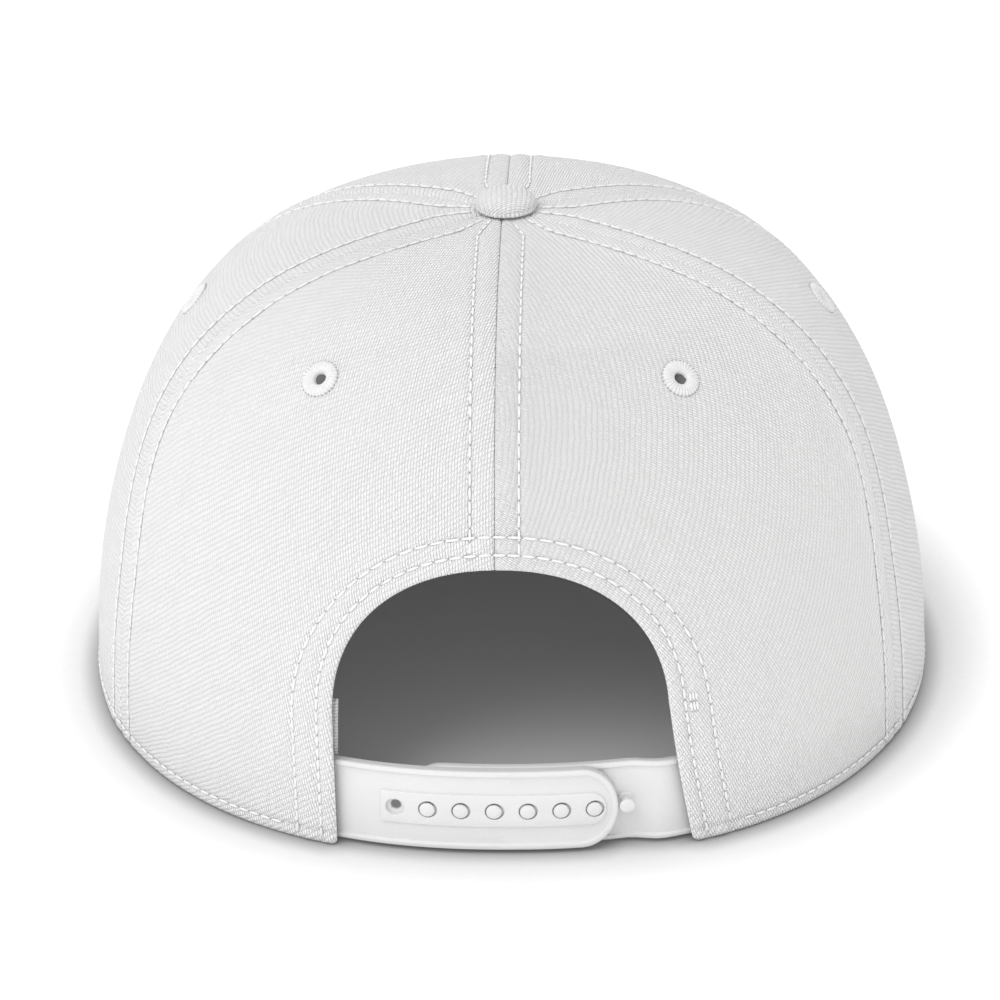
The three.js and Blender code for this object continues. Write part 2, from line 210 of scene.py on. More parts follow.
def lamp(name, place, size, power):
    """A square soft lamp that looks at the cap."""
    data = bpy.data.lights.new(name, "AREA")
    data.shape, data.size, data.energy = "SQUARE", size, power
    piece = bpy.data.objects.new(name, data)
    piece.location = place
    away = Vector((0, AXIS_Y, 0.05)) - piece.location
    piece.rotation_mode = "QUATERNION"
    piece.rotation_quaternion = away.to_track_quat("-Z", "Y")
    scene.collection.objects.link(piece)
    return piece


lamp("key_lamp", (0.7, 0.8, 1.45), 1.1, 13)


# %% [markdown]
# Materials are built from nodes. A small helper keeps that readable: it makes a
# node, sets its values and joins its inputs in one line.

# %% Helpers for nodes
def new_material(name, **sockets):
    """A material with a Principled shader whose plain values are set on its own sockets."""
    material = bpy.data.materials.new(name)
    material.use_nodes = True
    shader = material.node_tree.nodes["Principled BSDF"]
    for key, value in sockets.items():
        shader.inputs[key.replace("_", " ")].default_value = value
    return material, material.node_tree, shader


def add_node(tree, kind, inputs=(), **settings):
    """A node of a kind. Its inputs are numbers, colours, or outputs of other nodes."""
    node = tree.nodes.new("ShaderNode" + kind)
    for key, value in settings.items():
        setattr(node, key, value)
    pairs = inputs.items() if isinstance(inputs, dict) else enumerate(inputs)
    for key, value in pairs:
        if isinstance(value, bpy.types.NodeSocket):
            tree.links.new(value, node.inputs[key])
        elif value is not None:
            node.inputs[key].default_value = value
    return node


def maths(tree, operation, *inputs):
    return add_node(tree, "Math", inputs, operation=operation).outputs[0]


def blend_tones(tree, share, first, second):
    """A blend of two tones. Each is a grey from 0 to 1, or the output of another node."""
    node = add_node(tree, "Mix", data_type="RGBA")
    for socket, value in zip((node.inputs[0], node.inputs[6], node.inputs[7]), (share, first, second)):
        if isinstance(value, bpy.types.NodeSocket):
            tree.links.new(value, socket)
        else:
            socket.default_value = (value, value, value, 1)
    return node.outputs[2]


def paint(tree, shader, share, dark, light):
    """Gives a shader its colour, between two tones."""
    tree.links.new(blend_tones(tree, share, dark, light), shader.inputs["Base Color"])


def emboss(tree, shader, height, depth, strength=1.0):
    """Gives a shader its fine relief. The depth is in millimetres."""
    bump = add_node(tree, "Bump", {"Strength": strength, "Distance": depth * MM, "Height": height})
    tree.links.new(bump.outputs[0], shader.inputs["Normal"])


def object_from(name, bm, materials=()):
    """An object made from a bmesh, which is used up."""
    mesh = bpy.data.meshes.new(name)
    for material in materials:
        mesh.materials.append(material)
    bm.to_mesh(mesh)
    bm.free()
    piece = bpy.data.objects.new(name, mesh)
    scene.collection.objects.link(piece)
    return piece


# %% Floor
pale, tree, shader = new_material("pale_floor", Roughness=0.9)
shader.inputs["Specular IOR Level"].default_value = 0.2
shader.inputs["Emission Color"].default_value = (1, 1, 1, 1)
# Ambient occlusion paints the floor's glow and colour darker near the cap: a painted contact shadow, and
# painted shade on the floor inside the cap.
near = add_node(tree, "AmbientOcclusion", {"Distance": 0.035}, samples=12)
contact = add_node(tree, "AmbientOcclusion", {"Distance": 0.005}, samples=12).outputs["AO"]
near = maths(tree, "POWER", near.outputs["AO"], 1.4)
near = maths(tree, "MULTIPLY", near, maths(tree, "POWER", contact, 1.6))
under = add_node(tree, "AmbientOcclusion", {"Distance": 0.15}, samples=12).outputs["AO"]
under = add_node(tree, "MapRange", (under, 0.3, 0.52, 0.0, 1.0), interpolation_type="SMOOTHSTEP").outputs[0]
glow = maths(tree, "MULTIPLY_ADD", maths(tree, "MULTIPLY", near, under), 0.26, 0.05)
tree.links.new(glow, shader.inputs["Emission Strength"])
spots = add_node(tree, "TexNoise", {"Scale": 3.0, "Detail": 2.0})
paint(tree, shader, near, 0.2, blend_tones(tree, spots.outputs["Fac"], 0.91, 0.93))
bm = bmesh.new()
bmesh.ops.create_grid(bm, x_segments=4, y_segments=4, size=4)
floor = object_from("floor", bm, [pale])
print("floor", floor.dimensions[:])

# %% [markdown]
# The cloth is a stiff cotton twill. Each thread of its warp passes over three
# threads of the weft and under one, and its neighbour does the same one thread
# further on, so the long floats line up as slanting ribs a little over a
# millimetre apart, and each rib looks like a string of slanting beads. A picture of
# cloth would stretch and repeat, so the weave is worked out from each piece's own
# flat coordinates in millimetres, one across the ribs and one along them.

# %% Twill
RIB_PITCH = 1.1
BEAD_PITCH = 0.6


def turned_cloth(flat, turn):
    """Flat coordinates turned so that the first goes across the ribs and the second along them."""
    turn = math.radians(turn)
    across = flat[..., 0] * math.sin(turn) - flat[..., 1] * math.cos(turn)
    return np.stack([across, flat[..., 0] * math.cos(turn) + flat[..., 1] * math.sin(turn)], -1)


def twill(name, light=0.99, dark=0.5, depth=0.45):
    """Twill from a piece's UV map in millimetres: the first coordinate goes across its ribs."""
    material, tree, shader = new_material(name, Roughness=0.88)
    shader.inputs["Specular IOR Level"].default_value = 0.25
    shader.inputs["Sheen Weight"].default_value = 0.12
    shader.inputs["Sheen Roughness"].default_value = 0.5
    cloth = add_node(tree, "UVMap", uv_map="cloth").outputs[0]
    slow = add_node(tree, "TexNoise", {"Vector": cloth, "Scale": 0.12, "Detail": 2.0})
    quick = add_node(tree, "TexNoise", {"Vector": cloth, "Scale": 1.1, "Detail": 2.0})
    parts = add_node(tree, "SeparateXYZ", (cloth,)).outputs
    across = maths(tree, "MULTIPLY_ADD", slow.outputs["Fac"], 1.1, parts[0])
    across = maths(tree, "MULTIPLY_ADD", quick.outputs["Fac"], 0.34, across)
    across = maths(tree, "DIVIDE", across, RIB_PITCH)
    rib = maths(tree, "ABSOLUTE", maths(tree, "SINE", maths(tree, "MULTIPLY", across, math.pi)))
    rib = maths(tree, "MULTIPLY_ADD", maths(tree, "POWER", rib, 0.75), 0.75, 0.25)
    along = maths(tree, "MULTIPLY_ADD", quick.outputs["Fac"], 0.3, parts[1])
    along = maths(tree, "MULTIPLY_ADD", across, 0.62, maths(tree, "DIVIDE", along, BEAD_PITCH))
    bead = maths(tree, "ABSOLUTE", maths(tree, "SINE", maths(tree, "MULTIPLY", along, math.pi)))
    bead = maths(tree, "MULTIPLY_ADD", maths(tree, "POWER", bead, 0.8), 0.72, 0.28)
    yarn = add_node(tree, "TexNoise", {"Vector": cloth, "Scale": 1.3, "Detail": 5.0, "Roughness": 0.75})
    fuzz = maths(tree, "MULTIPLY_ADD", yarn.outputs["Fac"], 1.1, 0.45)
    weave = maths(tree, "MULTIPLY", maths(tree, "MULTIPLY", rib, bead), fuzz)
    emboss(tree, shader, weave, depth)
    # The colour follows the weave's height: darker in the gaps between ribs and beads, which is painted shade,
    # and with random yarn tone.
    paint(tree, shader, maths(tree, "MINIMUM", maths(tree, "POWER", weave, 0.4), 1.0), dark, light)
    return material


print("rib pitch", RIB_PITCH, "mm, a rib's threads", BEAD_PITCH, "mm apart")

# %% [markdown]
# Seams, hems and stitch rows all follow lines on the crown, so the lines come
# before the cloth. A line is kept as its angles and climbs, with its points and
# its length so far. The back seam leans to one side by three quarters of a
# millimetre, because its allowance is pressed over, and the photograph shows it.

# %% Lines on the crown
RING = 2.8 * MM
ARCH_HALF = 34.4 * MM
ARCH_STRAIGHT = 30 * MM
ARCH_TOP = 63.6 * MM
ARCH_ROUND = 2.2
ARCH_FLARE = 5.4 * MM
FLARE_HEIGHT = 34 * MM
SEAM_SHIFT = 0.75 * MM


def line_of(angle, climb):
    points = crown_point(angle, climb)
    return {"angle": angle, "climb": climb, "points": points, "run": lengths_along(points)}


def seam_line(name, side, samples=260):
    """A seam from the rim to the ring under the button. side is 1 towards +X and -1 towards -X."""
    top = climb_at_radius(seam_angle(name, QUARTER), RING)
    climb = top * (1 - (1 - np.linspace(0, 1, samples)) ** 1.6)
    if name == "back_seam":
        return line_of(angle_at_side(SEAM_SHIFT, climb), climb)
    return line_of(side * seam_angle(name, climb), climb)


def arch_place(side, height):
    """Angle and climb of a point of the arch, from its distance aside and its height."""
    climb = climb_at_height(0.3, height)
    for _ in range(12):
        angle = angle_at_side(side, climb)
        climb = climb_at_height(angle, height)
    return angle, climb


def arch_flare(height, side):
    """How far the arch's edge on the -X side stands out, more and more towards the rim."""
    return ARCH_FLARE * np.clip(1 - height / FLARE_HEIGHT, 0, 1) ** 1.2 * (side < 0)


def arch_flat(side, samples=90):
    """Half the arch, flat: from its top down to the rim, as distances aside and heights."""
    turn = QUARTER * (1 - np.linspace(0, 1, samples))
    aside = np.concatenate([ARCH_HALF * np.cos(turn) ** (2 / ARCH_ROUND), np.full(29, ARCH_HALF)])
    rise = ARCH_STRAIGHT + (ARCH_TOP - ARCH_STRAIGHT) * np.sin(turn) ** (2 / ARCH_ROUND)
    height = np.concatenate([rise, ARCH_STRAIGHT * np.linspace(1, 0, 30)[1:]])
    return aside + arch_flare(height, side), height


(right_side, right_height), (left_side, left_height) = arch_flat(-1), arch_flat(1)
whole_side = np.concatenate([-right_side[::-1], left_side[1:]])
whole_height = np.concatenate([right_height[::-1], left_height[1:]])
arch_line = line_of(*arch_place(whole_side, whole_height))
rim_line = line_of(np.linspace(-math.pi, math.pi, 721), np.zeros(721))
lengths = [round(line["run"][-1] / MM, 1) for line in (arch_line, rim_line)]
print("the arch's edge and the rim are", lengths, "mm long")


# %% Distance from a line
def from_line(points, line, block=4000):
    """For each point its distance from a line, and how far along the line that is."""
    start, end = line["points"][:-1], line["points"][1:]
    step = end - start
    square = np.maximum((step**2).sum(-1), 1e-16)
    gaps, runs = [], []
    for first in range(0, len(points), block):
        away = points[first : first + block, None, :] - start[None]
        share = np.clip((away * step).sum(-1) / square, 0, 1)
        gap = np.linalg.norm(away - share[..., None] * step, axis=-1)
        best = gap.argmin(1)
        rows = np.arange(len(best))
        gaps.append(gap[rows, best])
        length = line["run"][best + 1] - line["run"][best]
        runs.append(line["run"][best] + share[rows, best] * length)
    return np.concatenate(gaps), np.concatenate(runs)


# %% [markdown]
# Sewing leaves its own relief. At a seam both panels turn down into the gap; beside
# it they lie over the folded allowance, so they stand a little proud; and a row of
# stitches pulls the cloth down along its line, most of all at the needle holes.
# Near the button all of this narrows, because six seams meet there.

# %% Relief of the sewn cloth
ROW_OFFSET = 4.85 * MM
STITCH = 2.75 * MM
INNER_ROW = 3.2 * MM
HEM_ROW = 2.9 * MM


def outer_row(height):
    """Distance of the opening's outer stitch row from its edge: wider at the sides."""
    return (8.7 - 1.9 * smooth(height, 30 * MM, 60 * MM)) * MM


def narrowing(points):
    radius = np.hypot(points[:, 0], points[:, 1] - AXIS_Y)
    return np.minimum(1, 0.324 * radius / ROW_OFFSET)


def hump(value, middle, width):
    return np.exp(-(((value - middle) / width) ** 2))


def ridge(gap, height, middle, width):
    """A soft ridge along a line. Its height, distance and width are in millimetres."""
    return height * MM * hump(gap, middle * MM, width * MM)


def turn_in(gap, radius):
    """How far a rounded edge has dropped at a distance from it."""
    inside = np.clip(radius - gap, 0, radius)
    return radius - np.sqrt(radius**2 - inside**2)


def row_dip(gap, run, row, width=0.6 * MM, depth=0.34 * MM):
    pull = 0.78 + 0.22 * np.cos(2 * math.pi * run / STITCH)
    return -depth * pull * hump(gap, row, width)


def seam_relief(points, line):
    gap, run = from_line(points, line)
    scale = narrowing(points)
    gap = gap / scale
    pillow = ridge(gap, 0.24, 2.5, 1.5) + ridge(gap, 0.2, 6.4, 1.1)
    return scale * (pillow + row_dip(gap, run, ROW_OFFSET))


def opening_relief(points):
    gap, run = from_line(points, arch_line)
    outer = outer_row(points[:, 2])
    pillow = ridge(gap, 0.2, 1.6, 1.0) + ridge(gap, 0.3, (INNER_ROW + outer) / 2 / MM, 1.7)
    pillow += ridge(gap, 0.14, outer / MM + 1.5, 1.0)
    return pillow + row_dip(gap, run, INNER_ROW) + row_dip(gap, run, outer)


def rim_relief(points):
    gap, run = from_line(points, rim_line)
    return ridge(gap, 0.18, 1.4, 0.9) + ridge(gap, 0.12, 4.4, 1.0) + row_dip(gap, run, HEM_ROW)


def slow_waves(points):
    """The cloth is never quite even: long shallow waves, the same each run."""
    places = [Vector(point) for point in points]
    return np.array([noise.noise(p * 34) * 0.22 + noise.noise(p * 110) * 0.05 for p in places]) * MM


# %% [markdown]
# A panel is two sheets of small faces, the outside and the inside, joined at
# their edges into one closed shell. `create_grid` makes both sheets, and their
# vertices are then laid on the crown. The lines of the grid are spaced by length:
# closer than half a millimetre near the edges, where the sewing is, and wider in
# the middle of the panel, where the cloth is plain.

# %% Spacing of a panel's lines
NEAR_EDGE = [0, 0.03, 0.13, 0.3, 0.55, 0.9]
SEAM_EDGE = NEAR_EDGE + list(np.arange(1.3, 7.9, 0.42))
OPENING_EDGE = NEAR_EDGE + list(np.arange(1.3, 11.6, 0.42))
HEM_EDGE = NEAR_EDGE + list(np.arange(1.3, 5.4, 0.42))
TOP_EDGE = [0, 0.4, 0.8]


def spaced(length, first, last, middle):
    """Places along a length: set distances from both ends and even steps between them."""
    first, last = np.array(first) * MM, np.array(last) * MM
    fit = min(1, 0.9 * length / (first[-1] + last[-1]))
    low, high = first * fit, length - last[::-1] * fit
    return np.concatenate([low, np.linspace(low[-1], high[0], middle + 1)[1:-1], high])


def along_line(line, places):
    """Angle and climb at places along a line."""
    return np.interp(places, line["run"], line["angle"]), np.interp(places, line["run"], line["climb"])


# %% A side or front panel's places
GAP = 0.01 * MM
VISOR_FROM = (103.4, 104.4)
ABOVE_VISOR = 3.5 * MM


def upright_panel(start, end, side, middle_columns=56, middle_rows=88):
    """Angles and climbs of a panel that stands on the rim or on the visor."""
    shares = np.linspace(0, 1, 41)
    steps = 1 - (1 - np.linspace(0, 1, 400)) ** 1.3
    rows = []
    for share in shares:
        low_angle = seam_angle(start, 0) * (1 - share) + seam_angle(end, 0) * share
        over_visor = smooth(math.degrees(low_angle), *VISOR_FROM) * ABOVE_VISOR
        low = climb_at_height(low_angle, over_visor) if over_visor > 0 else 0.0
        top_angle = seam_angle(start, QUARTER) * (1 - share) + seam_angle(end, QUARTER) * share
        top = climb_at_radius(top_angle, RING)
        climb = low + (top - low) * steps
        angle = seam_angle(start, climb) * (1 - share) + seam_angle(end, climb) * share
        line = line_of(angle, climb)
        rows.append(along_line(line, spaced(line["run"][-1], HEM_EDGE, TOP_EDGE, middle_rows))[1])
    rows = np.array(rows).T
    angles, climbs = [], []
    fine = np.linspace(0, 1, 400)
    for row in rows:
        climb = np.interp(fine, shares, row)
        angle = seam_angle(start, climb) * (1 - fine) + seam_angle(end, climb) * fine
        line = line_of(angle, climb)
        places = spaced(line["run"][-1] - 2 * GAP, SEAM_EDGE, SEAM_EDGE, middle_columns) + GAP
        angle, climb = along_line(line, places)
        angles.append(side * angle)
        climbs.append(climb)
    return np.array(angles), np.array(climbs)


# %% A back panel's places
CORNER = 1.3 * MM


def round_corner(angle, climb, side):
    """Rounds the cloth's corner where the arch meets the rim, as on a square pressed into a disc."""
    point = crown_point(angle, climb)
    edge = ARCH_HALF + arch_flare(point[..., 2], side)
    u, v = 1 - (point[..., 0] - edge) / CORNER, 1 - point[..., 2] / CORNER
    inside = (u > 0) & (v > 0)
    u, v = np.clip(u[inside], 0, 1), np.clip(v[inside], 0, 1)
    height = (1 - v * np.sqrt(1 - u * u / 2)) * CORNER
    aside = ARCH_HALF + arch_flare(height, side) + (1 - u * np.sqrt(1 - v * v / 2)) * CORNER
    angle[inside], climb[inside] = arch_place(aside, height)


def back_panel(side, middle_columns=66, middle_rows=46):
    """Angles and climbs of a back panel, on straight lines from the arch out to the side seam."""
    middle = side * SEAM_SHIFT + GAP
    arch_side, arch_height = arch_flat(side)
    kept = arch_side > middle
    aside = np.concatenate([[middle], arch_side[kept]])
    _, arch_climb = arch_place(aside, np.concatenate([[ARCH_TOP], arch_height[kept]]))
    seam = seam_line("rear_seam", 1)
    top = angle_at_side(middle, climb_at_radius(0.0, RING))
    top_angle = np.linspace(top, seam["angle"][-1], 20)
    outer_angle = np.concatenate([top_angle[:-1], seam["angle"][::-1]])
    outer_climb = np.concatenate([climb_at_radius(top_angle[:-1], RING), seam["climb"][::-1]])
    ends = []
    for line in (line_of(angle_at_side(aside, arch_climb), arch_climb), line_of(outer_angle, outer_climb)):
        places = spaced(line["run"][-1], SEAM_EDGE, HEM_EDGE, middle_columns)
        angle, climb = along_line(line, places)
        ends.append(np.stack([crown_point(angle, climb)[:, 0], climb], -1))
    angles, climbs = [], []
    share = np.linspace(0, 1, 200)[:, None]
    for start, end in zip(*ends):
        aside, climb = (start * (1 - share) + end * share).T
        line = line_of(angle_at_side(aside, climb), climb)
        places = spaced(line["run"][-1] - GAP, OPENING_EDGE, OPENING_EDGE, middle_rows)
        angle, climb = along_line(line, places)
        angles.append(angle)
        climbs.append(climb)
    angles, climbs = np.array(angles), np.array(climbs)
    round_corner(angles, climbs, side)
    return side * angles, climbs


print("a back panel has", back_panel(1)[0].shape, "places")

# %% [markdown]
# Each panel was cut from flat cloth, so the twill has to run straight over it and
# keep its scale, however the crown curves. The flat coordinates are lengths on the
# crown: how far a point lies from the panel's middle line, at its own height, and
# how far up that line. Seen from outside, the first grows to the right.

# %% Flat coordinates of the cloth
TABLE_CLIMBS = np.linspace(0, QUARTER * 0.999, 120)
TABLE_ANGLES = np.linspace(-math.pi, math.pi, 721)
ring_points = crown_point(TABLE_ANGLES[None], TABLE_CLIMBS[:, None])
ROUND_RUN = np.zeros(ring_points.shape[:2])
ROUND_RUN[:, 1:] = np.cumsum(np.linalg.norm(np.diff(ring_points, axis=1), axis=2), axis=1)


def round_run(angle, climb):
    """The length round the crown at a climb, from the front middle."""
    row = np.clip(climb / TABLE_CLIMBS[1], 0, len(TABLE_CLIMBS) - 1.001)
    column = np.clip((angle + math.pi) / (TABLE_ANGLES[1] - TABLE_ANGLES[0]), 0, len(TABLE_ANGLES) - 1.001)
    r, c = row.astype(int), column.astype(int)
    fr, fc = row - r, column - c
    low = ROUND_RUN[r, c] * (1 - fc) + ROUND_RUN[r, c + 1] * fc
    high = ROUND_RUN[r + 1, c] * (1 - fc) + ROUND_RUN[r + 1, c + 1] * fc
    return low * (1 - fr) + high * fr


def flat_cloth(angle, climb, middle):
    """Flat coordinates in millimetres, from the middle line of a panel and the rim."""
    upright = line_of(np.full(300, middle), np.linspace(0, QUARTER * 0.999, 300))
    across = round_run(np.full(climb.shape, middle), climb) - round_run(angle, climb)
    return np.stack([across, np.interp(climb, upright["climb"], upright["run"])], -1) / MM


# %% [markdown]
# The right back panel was cut on the bias and has stretched: its ribs rise steeply
# near the top and lean over near the rim. Their angles are given at a few heights,
# and the lean between them is summed up, so the ribs bend without a break.

# %% Cloth whose ribs curve
BENT_HEIGHTS = (0, 15, 45, 75, 110, 170)
BENT_TURNS = (45, 47, 56, 68, 80, 84)
UNMOVED_ROW = 150


def bent_cloth(flat):
    """Flat coordinates across and along ribs that lean by a different angle at each height."""
    heights = np.linspace(-10, 190, 500)
    turns = np.radians(np.interp(heights, BENT_HEIGHTS, BENT_TURNS))
    lean = np.cumsum(np.cos(turns) / np.sin(turns)) * (heights[1] - heights[0])
    length = np.cumsum(1 / np.sin(turns)) * (heights[1] - heights[0])
    turn = np.interp(flat[..., 1], heights, turns)
    aside = flat[..., 0] - np.interp(flat[..., 1], heights, lean - lean[UNMOVED_ROW])
    along = np.interp(flat[..., 1], heights, length) + aside * np.cos(turn)
    return np.stack([aside * np.sin(turn), along], -1)


# %% Sewing a panel's two sheets together
EYELET_HOLE = 2.4 * MM
SEAM_ROUND = 0.62 * MM


def laid_grid(bm, points, flat, finish, layer):
    """A grid of faces whose vertices are laid at a table of points."""
    rows, columns = points.shape[:2]
    made = bmesh.ops.create_grid(bm, x_segments=columns - 1, y_segments=rows - 1, size=0.5)["verts"]
    place = {v: (round((v.co.y + 0.5) * (rows - 1)), round((v.co.x + 0.5) * (columns - 1))) for v in made}
    cells = {}
    for face in {face for v in made for face in v.link_faces}:
        face.material_index = finish
        face.smooth = True
        for loop in face.loops:
            loop[layer].uv = flat[place[loop.vert]]
        cell = np.min([place[v] for v in face.verts], axis=0)
        cells[tuple(cell)] = face
    for v, at in place.items():
        v.co = points[at]
    return cells


def finish_piece(name, bm, materials, nodes_it_replaces, sharp=None):
    """Makes a piece from a bmesh, lets it ride on the body, and hides the CAD nodes it stands for."""
    piece = object_from(name, bm, materials)
    mesh = piece.data
    if sharp:
        mesh.set_sharp_from_angle(angle=math.radians(sharp))
    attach(piece, "root")
    if nodes_it_replaces:
        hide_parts(*nodes_it_replaces)
    mesh.calc_loop_triangles()
    finishes = np.bincount([face.material_index for face in mesh.polygons]).tolist()
    print(name, "has", len(mesh.loop_triangles), "triangles, faces by finish", finishes)
    return piece


def cloth_panel(name, angles, climbs, sewn, hem, seams, reliefs, woven, eyelet):
    """A closed panel. sewn marks the borders that go down into a seam, and hem is its open edge."""
    shape = angles.shape
    angle, climb = angles.ravel(), climbs.ravel()
    base, normal = crown_point(angle, climb), crown_normal(angle, climb)
    open_gap = from_line(base, hem)[0]
    seam_gap = np.min([from_line(base, line)[0] for line in seams], axis=0)
    lift = sum(relief(base) for relief in reliefs) + slow_waves(base)
    lift = lift * smooth(open_gap, 0, 1.2 * MM) * smooth(seam_gap, 0, 0.9 * MM)
    drop = turn_in(open_gap, CLOTH / 2)
    outer = base + normal * (lift - drop - turn_in(seam_gap, SEAM_ROUND))[:, None]
    inner = base - normal * (CLOTH - drop)[:, None]
    outer[sewn.ravel()] = inner[sewn.ravel()]
    flat = woven(angle, climb).reshape(*shape, 2)
    bm = bmesh.new()
    layer = bm.loops.layers.uv.new("cloth")
    outer, inner = outer.reshape(*shape, 3), inner.reshape(*shape, 3)
    sheets = [laid_grid(bm, points, flat, finish, layer) for finish, points in enumerate((outer, inner))]
    places = base.reshape(*shape, 3)
    gaps = np.linalg.norm((places[:-1, :-1] + places[1:, 1:]) / 2 - crown_point(*eyelet), axis=-1)
    cut = [cells[cell] for cells in sheets for cell in cells if gaps[cell] < EYELET_HOLE]
    bmesh.ops.delete(bm, geom=cut, context="FACES")
    bmesh.ops.remove_doubles(bm, verts=bm.verts[:], dist=2e-6)
    bmesh.ops.bridge_loops(bm, edges=[edge for edge in bm.edges if edge.is_boundary])
    bmesh.ops.recalc_face_normals(bm, faces=bm.faces[:])
    finish_piece("cloth_" + name, bm, [cap_twill, painted_shade_inside], ["panel_" + name], sharp=60)


# %% The six panels
# The panels' inner side is painted dark grey: painted shade for the shaded inside of the cap, with random
# thread tone.
painted_shade_inside, tree, shader = new_material("panel_inside_painted_shade", Roughness=0.95)
place = add_node(tree, "UVMap", uv_map="cloth").outputs[0]
threads = add_node(tree, "TexNoise", {"Vector": place, "Scale": 2.5, "Detail": 4.0})
paint(tree, shader, threads.outputs["Fac"], 0.11, 0.16)
emboss(tree, shader, threads.outputs["Fac"], 0.2, strength=0.6)
RIB_TURNS = {("back", 1): 33, ("side", 1): 5, ("side", -1): 150, ("front", 1): 40, ("front", -1): 40}
EYELET_SHARES = {"back": (0.475, 0.66), "side": (0.5, 0.61), "front": (0.5, 0.655)}
PANEL_SEAMS = {
    "back": ("back_seam", "rear_seam"),
    "side": ("rear_seam", "front_seam"),
    "front": ("front_seam", "front_middle"),
}
cap_twill = twill("cap_twill")
eyelets = {}


def woven_for(part, side, middle):
    """How a panel's places become flat coordinates, across its ribs and along them."""

    def woven(angle, climb):
        flat = flat_cloth(angle, climb, middle)
        return turned_cloth(flat, RIB_TURNS[part, side]) if (part, side) in RIB_TURNS else bent_cloth(flat)

    return woven


for side_name, side in (("left", 1), ("right", -1)):
    for part, (start, end) in PANEL_SEAMS.items():
        angles, climbs = back_panel(side) if part == "back" else upright_panel(start, end, side)
        sewn = np.zeros(angles.shape, bool)
        hem = line_of(angles[0], climbs[0])
        if part == "back":
            sewn[0] = sewn[:, -1] = True
            hem = line_of(*(np.concatenate([table[:, 0], table[-1]]) for table in (angles, climbs)))
        else:
            sewn[:, 0] = sewn[:, -1] = sewn[-1] = True
        seams = [seam_line(start, side), seam_line(end, side)]
        reliefs = [lambda points, line=line: seam_relief(points, line) for line in seams]
        reliefs += {"back": [opening_relief, rim_relief], "side": [rim_relief], "front": []}[part]
        middle = side * float(seam_angle(start, 0) + seam_angle(end, 0)) / 2
        share, climb = EYELET_SHARES[part][0], EYELET_SHARES[part][1] * QUARTER
        angle = side * float((1 - share) * seam_angle(start, climb) + share * seam_angle(end, climb))
        eyelets[part, side_name] = (angle, climb)
        woven = woven_for(part, side, middle)
        cloth_panel(f"{part}_{side_name}", angles, climbs, sewn, hem, seams, reliefs, woven, (angle, climb))

# %% [markdown]
# Every row of stitches is a string of small threads, each lying on the cloth between
# two needle holes. A texture could only draw them; as small bodies they catch the
# light and hold up close. One small sphere is made by an operator and copied, drawn
# out along the row for a stitch and flattened for the dark spot of a needle hole,
# which is painted shade. Thousands of operator calls would take minutes. Their
# places come from the lines: a place beside a line is found by stepping over to it
# and then asking for the crown's nearest point.

# %% Places beside a line
def nearest_place(target, angle, climb):
    """Angle and climb of the crown's point nearest to a target, found in a few steps."""
    step = 1e-4
    for _ in range(5):
        point = crown_point(angle, climb)
        around = (crown_point(angle + step, climb) - point) / step
        upward = (crown_point(angle, climb + step) - point) / step
        away = target - point
        aa, uu, au = (around**2).sum(-1), (upward**2).sum(-1), (around * upward).sum(-1)
        wa, wu = (away * around).sum(-1), (away * upward).sum(-1)
        share = aa * uu - au * au
        angle = angle + (wa * uu - wu * au) / share
        climb = np.clip(climb + (wu * aa - wa * au) / share, 1e-4, QUARTER - 1e-3)
    return angle, climb


def beside(line, runs, offset_at):
    """Places beside a line. offset_at gives the signed distance for the points it is at."""
    angle, climb = along_line(line, runs)
    start = crown_point(angle, climb)
    after, before = (crown_point(*along_line(line, runs + step * MM)) for step in (0.3, -0.3))
    across = np.cross(crown_normal(angle, climb), after - before)
    across /= np.linalg.norm(across, axis=-1, keepdims=True)
    point = start
    for _ in range(3):
        angle, climb = nearest_place(start + across * offset_at(point)[:, None], angle, climb)
        point = crown_point(angle, climb)
    return angle, climb


def cloth_lift(points):
    """How far the sewn cloth stands off the crown, with all its seams and rows."""
    lift = sum(seam_relief(points, line) for line in SEAM_LINES) + opening_relief(points)
    return lift + rim_relief(points) + slow_waves(points)


SEAM_LINES = [seam_line(name, side) for name in ("rear_seam", "front_seam") for side in (1, -1)]
SEAM_LINES += [seam_line("back_seam", 1), seam_line("front_middle", 1)]
print(len(SEAM_LINES), "seams, up to", round(max(line["run"][-1] for line in SEAM_LINES) / MM), "mm long")

# %% Thread
THREAD_HALF = 0.31 * MM
sewing_thread, tree, shader = new_material("sewing_thread", Roughness=0.55)
shader.inputs["Specular IOR Level"].default_value = 0.35
shader.inputs["Sheen Weight"].default_value = 0.1
place = add_node(tree, "TexCoord").outputs["Object"]
twist = add_node(tree, "TexNoise", {"Vector": place, "Scale": 3200.0, "Detail": 2.0})
emboss(tree, shader, twist.outputs["Fac"], 0.06, strength=0.5)
paint(tree, shader, twist.outputs["Fac"], 0.72, 0.92)

# A needle hole is shown as a flat dark spot on the cloth: painted shade of the hole, with random specks.
needle_hole_painted_shade, tree, shader = new_material("needle_hole_painted_shade", Roughness=0.95)
place = add_node(tree, "TexCoord").outputs["Object"]
specks = add_node(tree, "TexNoise", {"Vector": place, "Scale": 900.0})
paint(tree, shader, specks.outputs["Fac"], 0.34, 0.5)


def small_body():
    """The vertices and faces of one small sphere, made once by an operator."""
    bm = bmesh.new()
    bmesh.ops.create_uvsphere(bm, u_segments=6, v_segments=5, radius=1)
    bmesh.ops.recalc_face_normals(bm, faces=bm.faces[:])
    bm.verts.index_update()
    made = np.array([v.co for v in bm.verts]), [[v.index for v in face.verts] for face in bm.faces]
    bm.free()
    return made


BODY_VERTS, BODY_FACES = small_body()


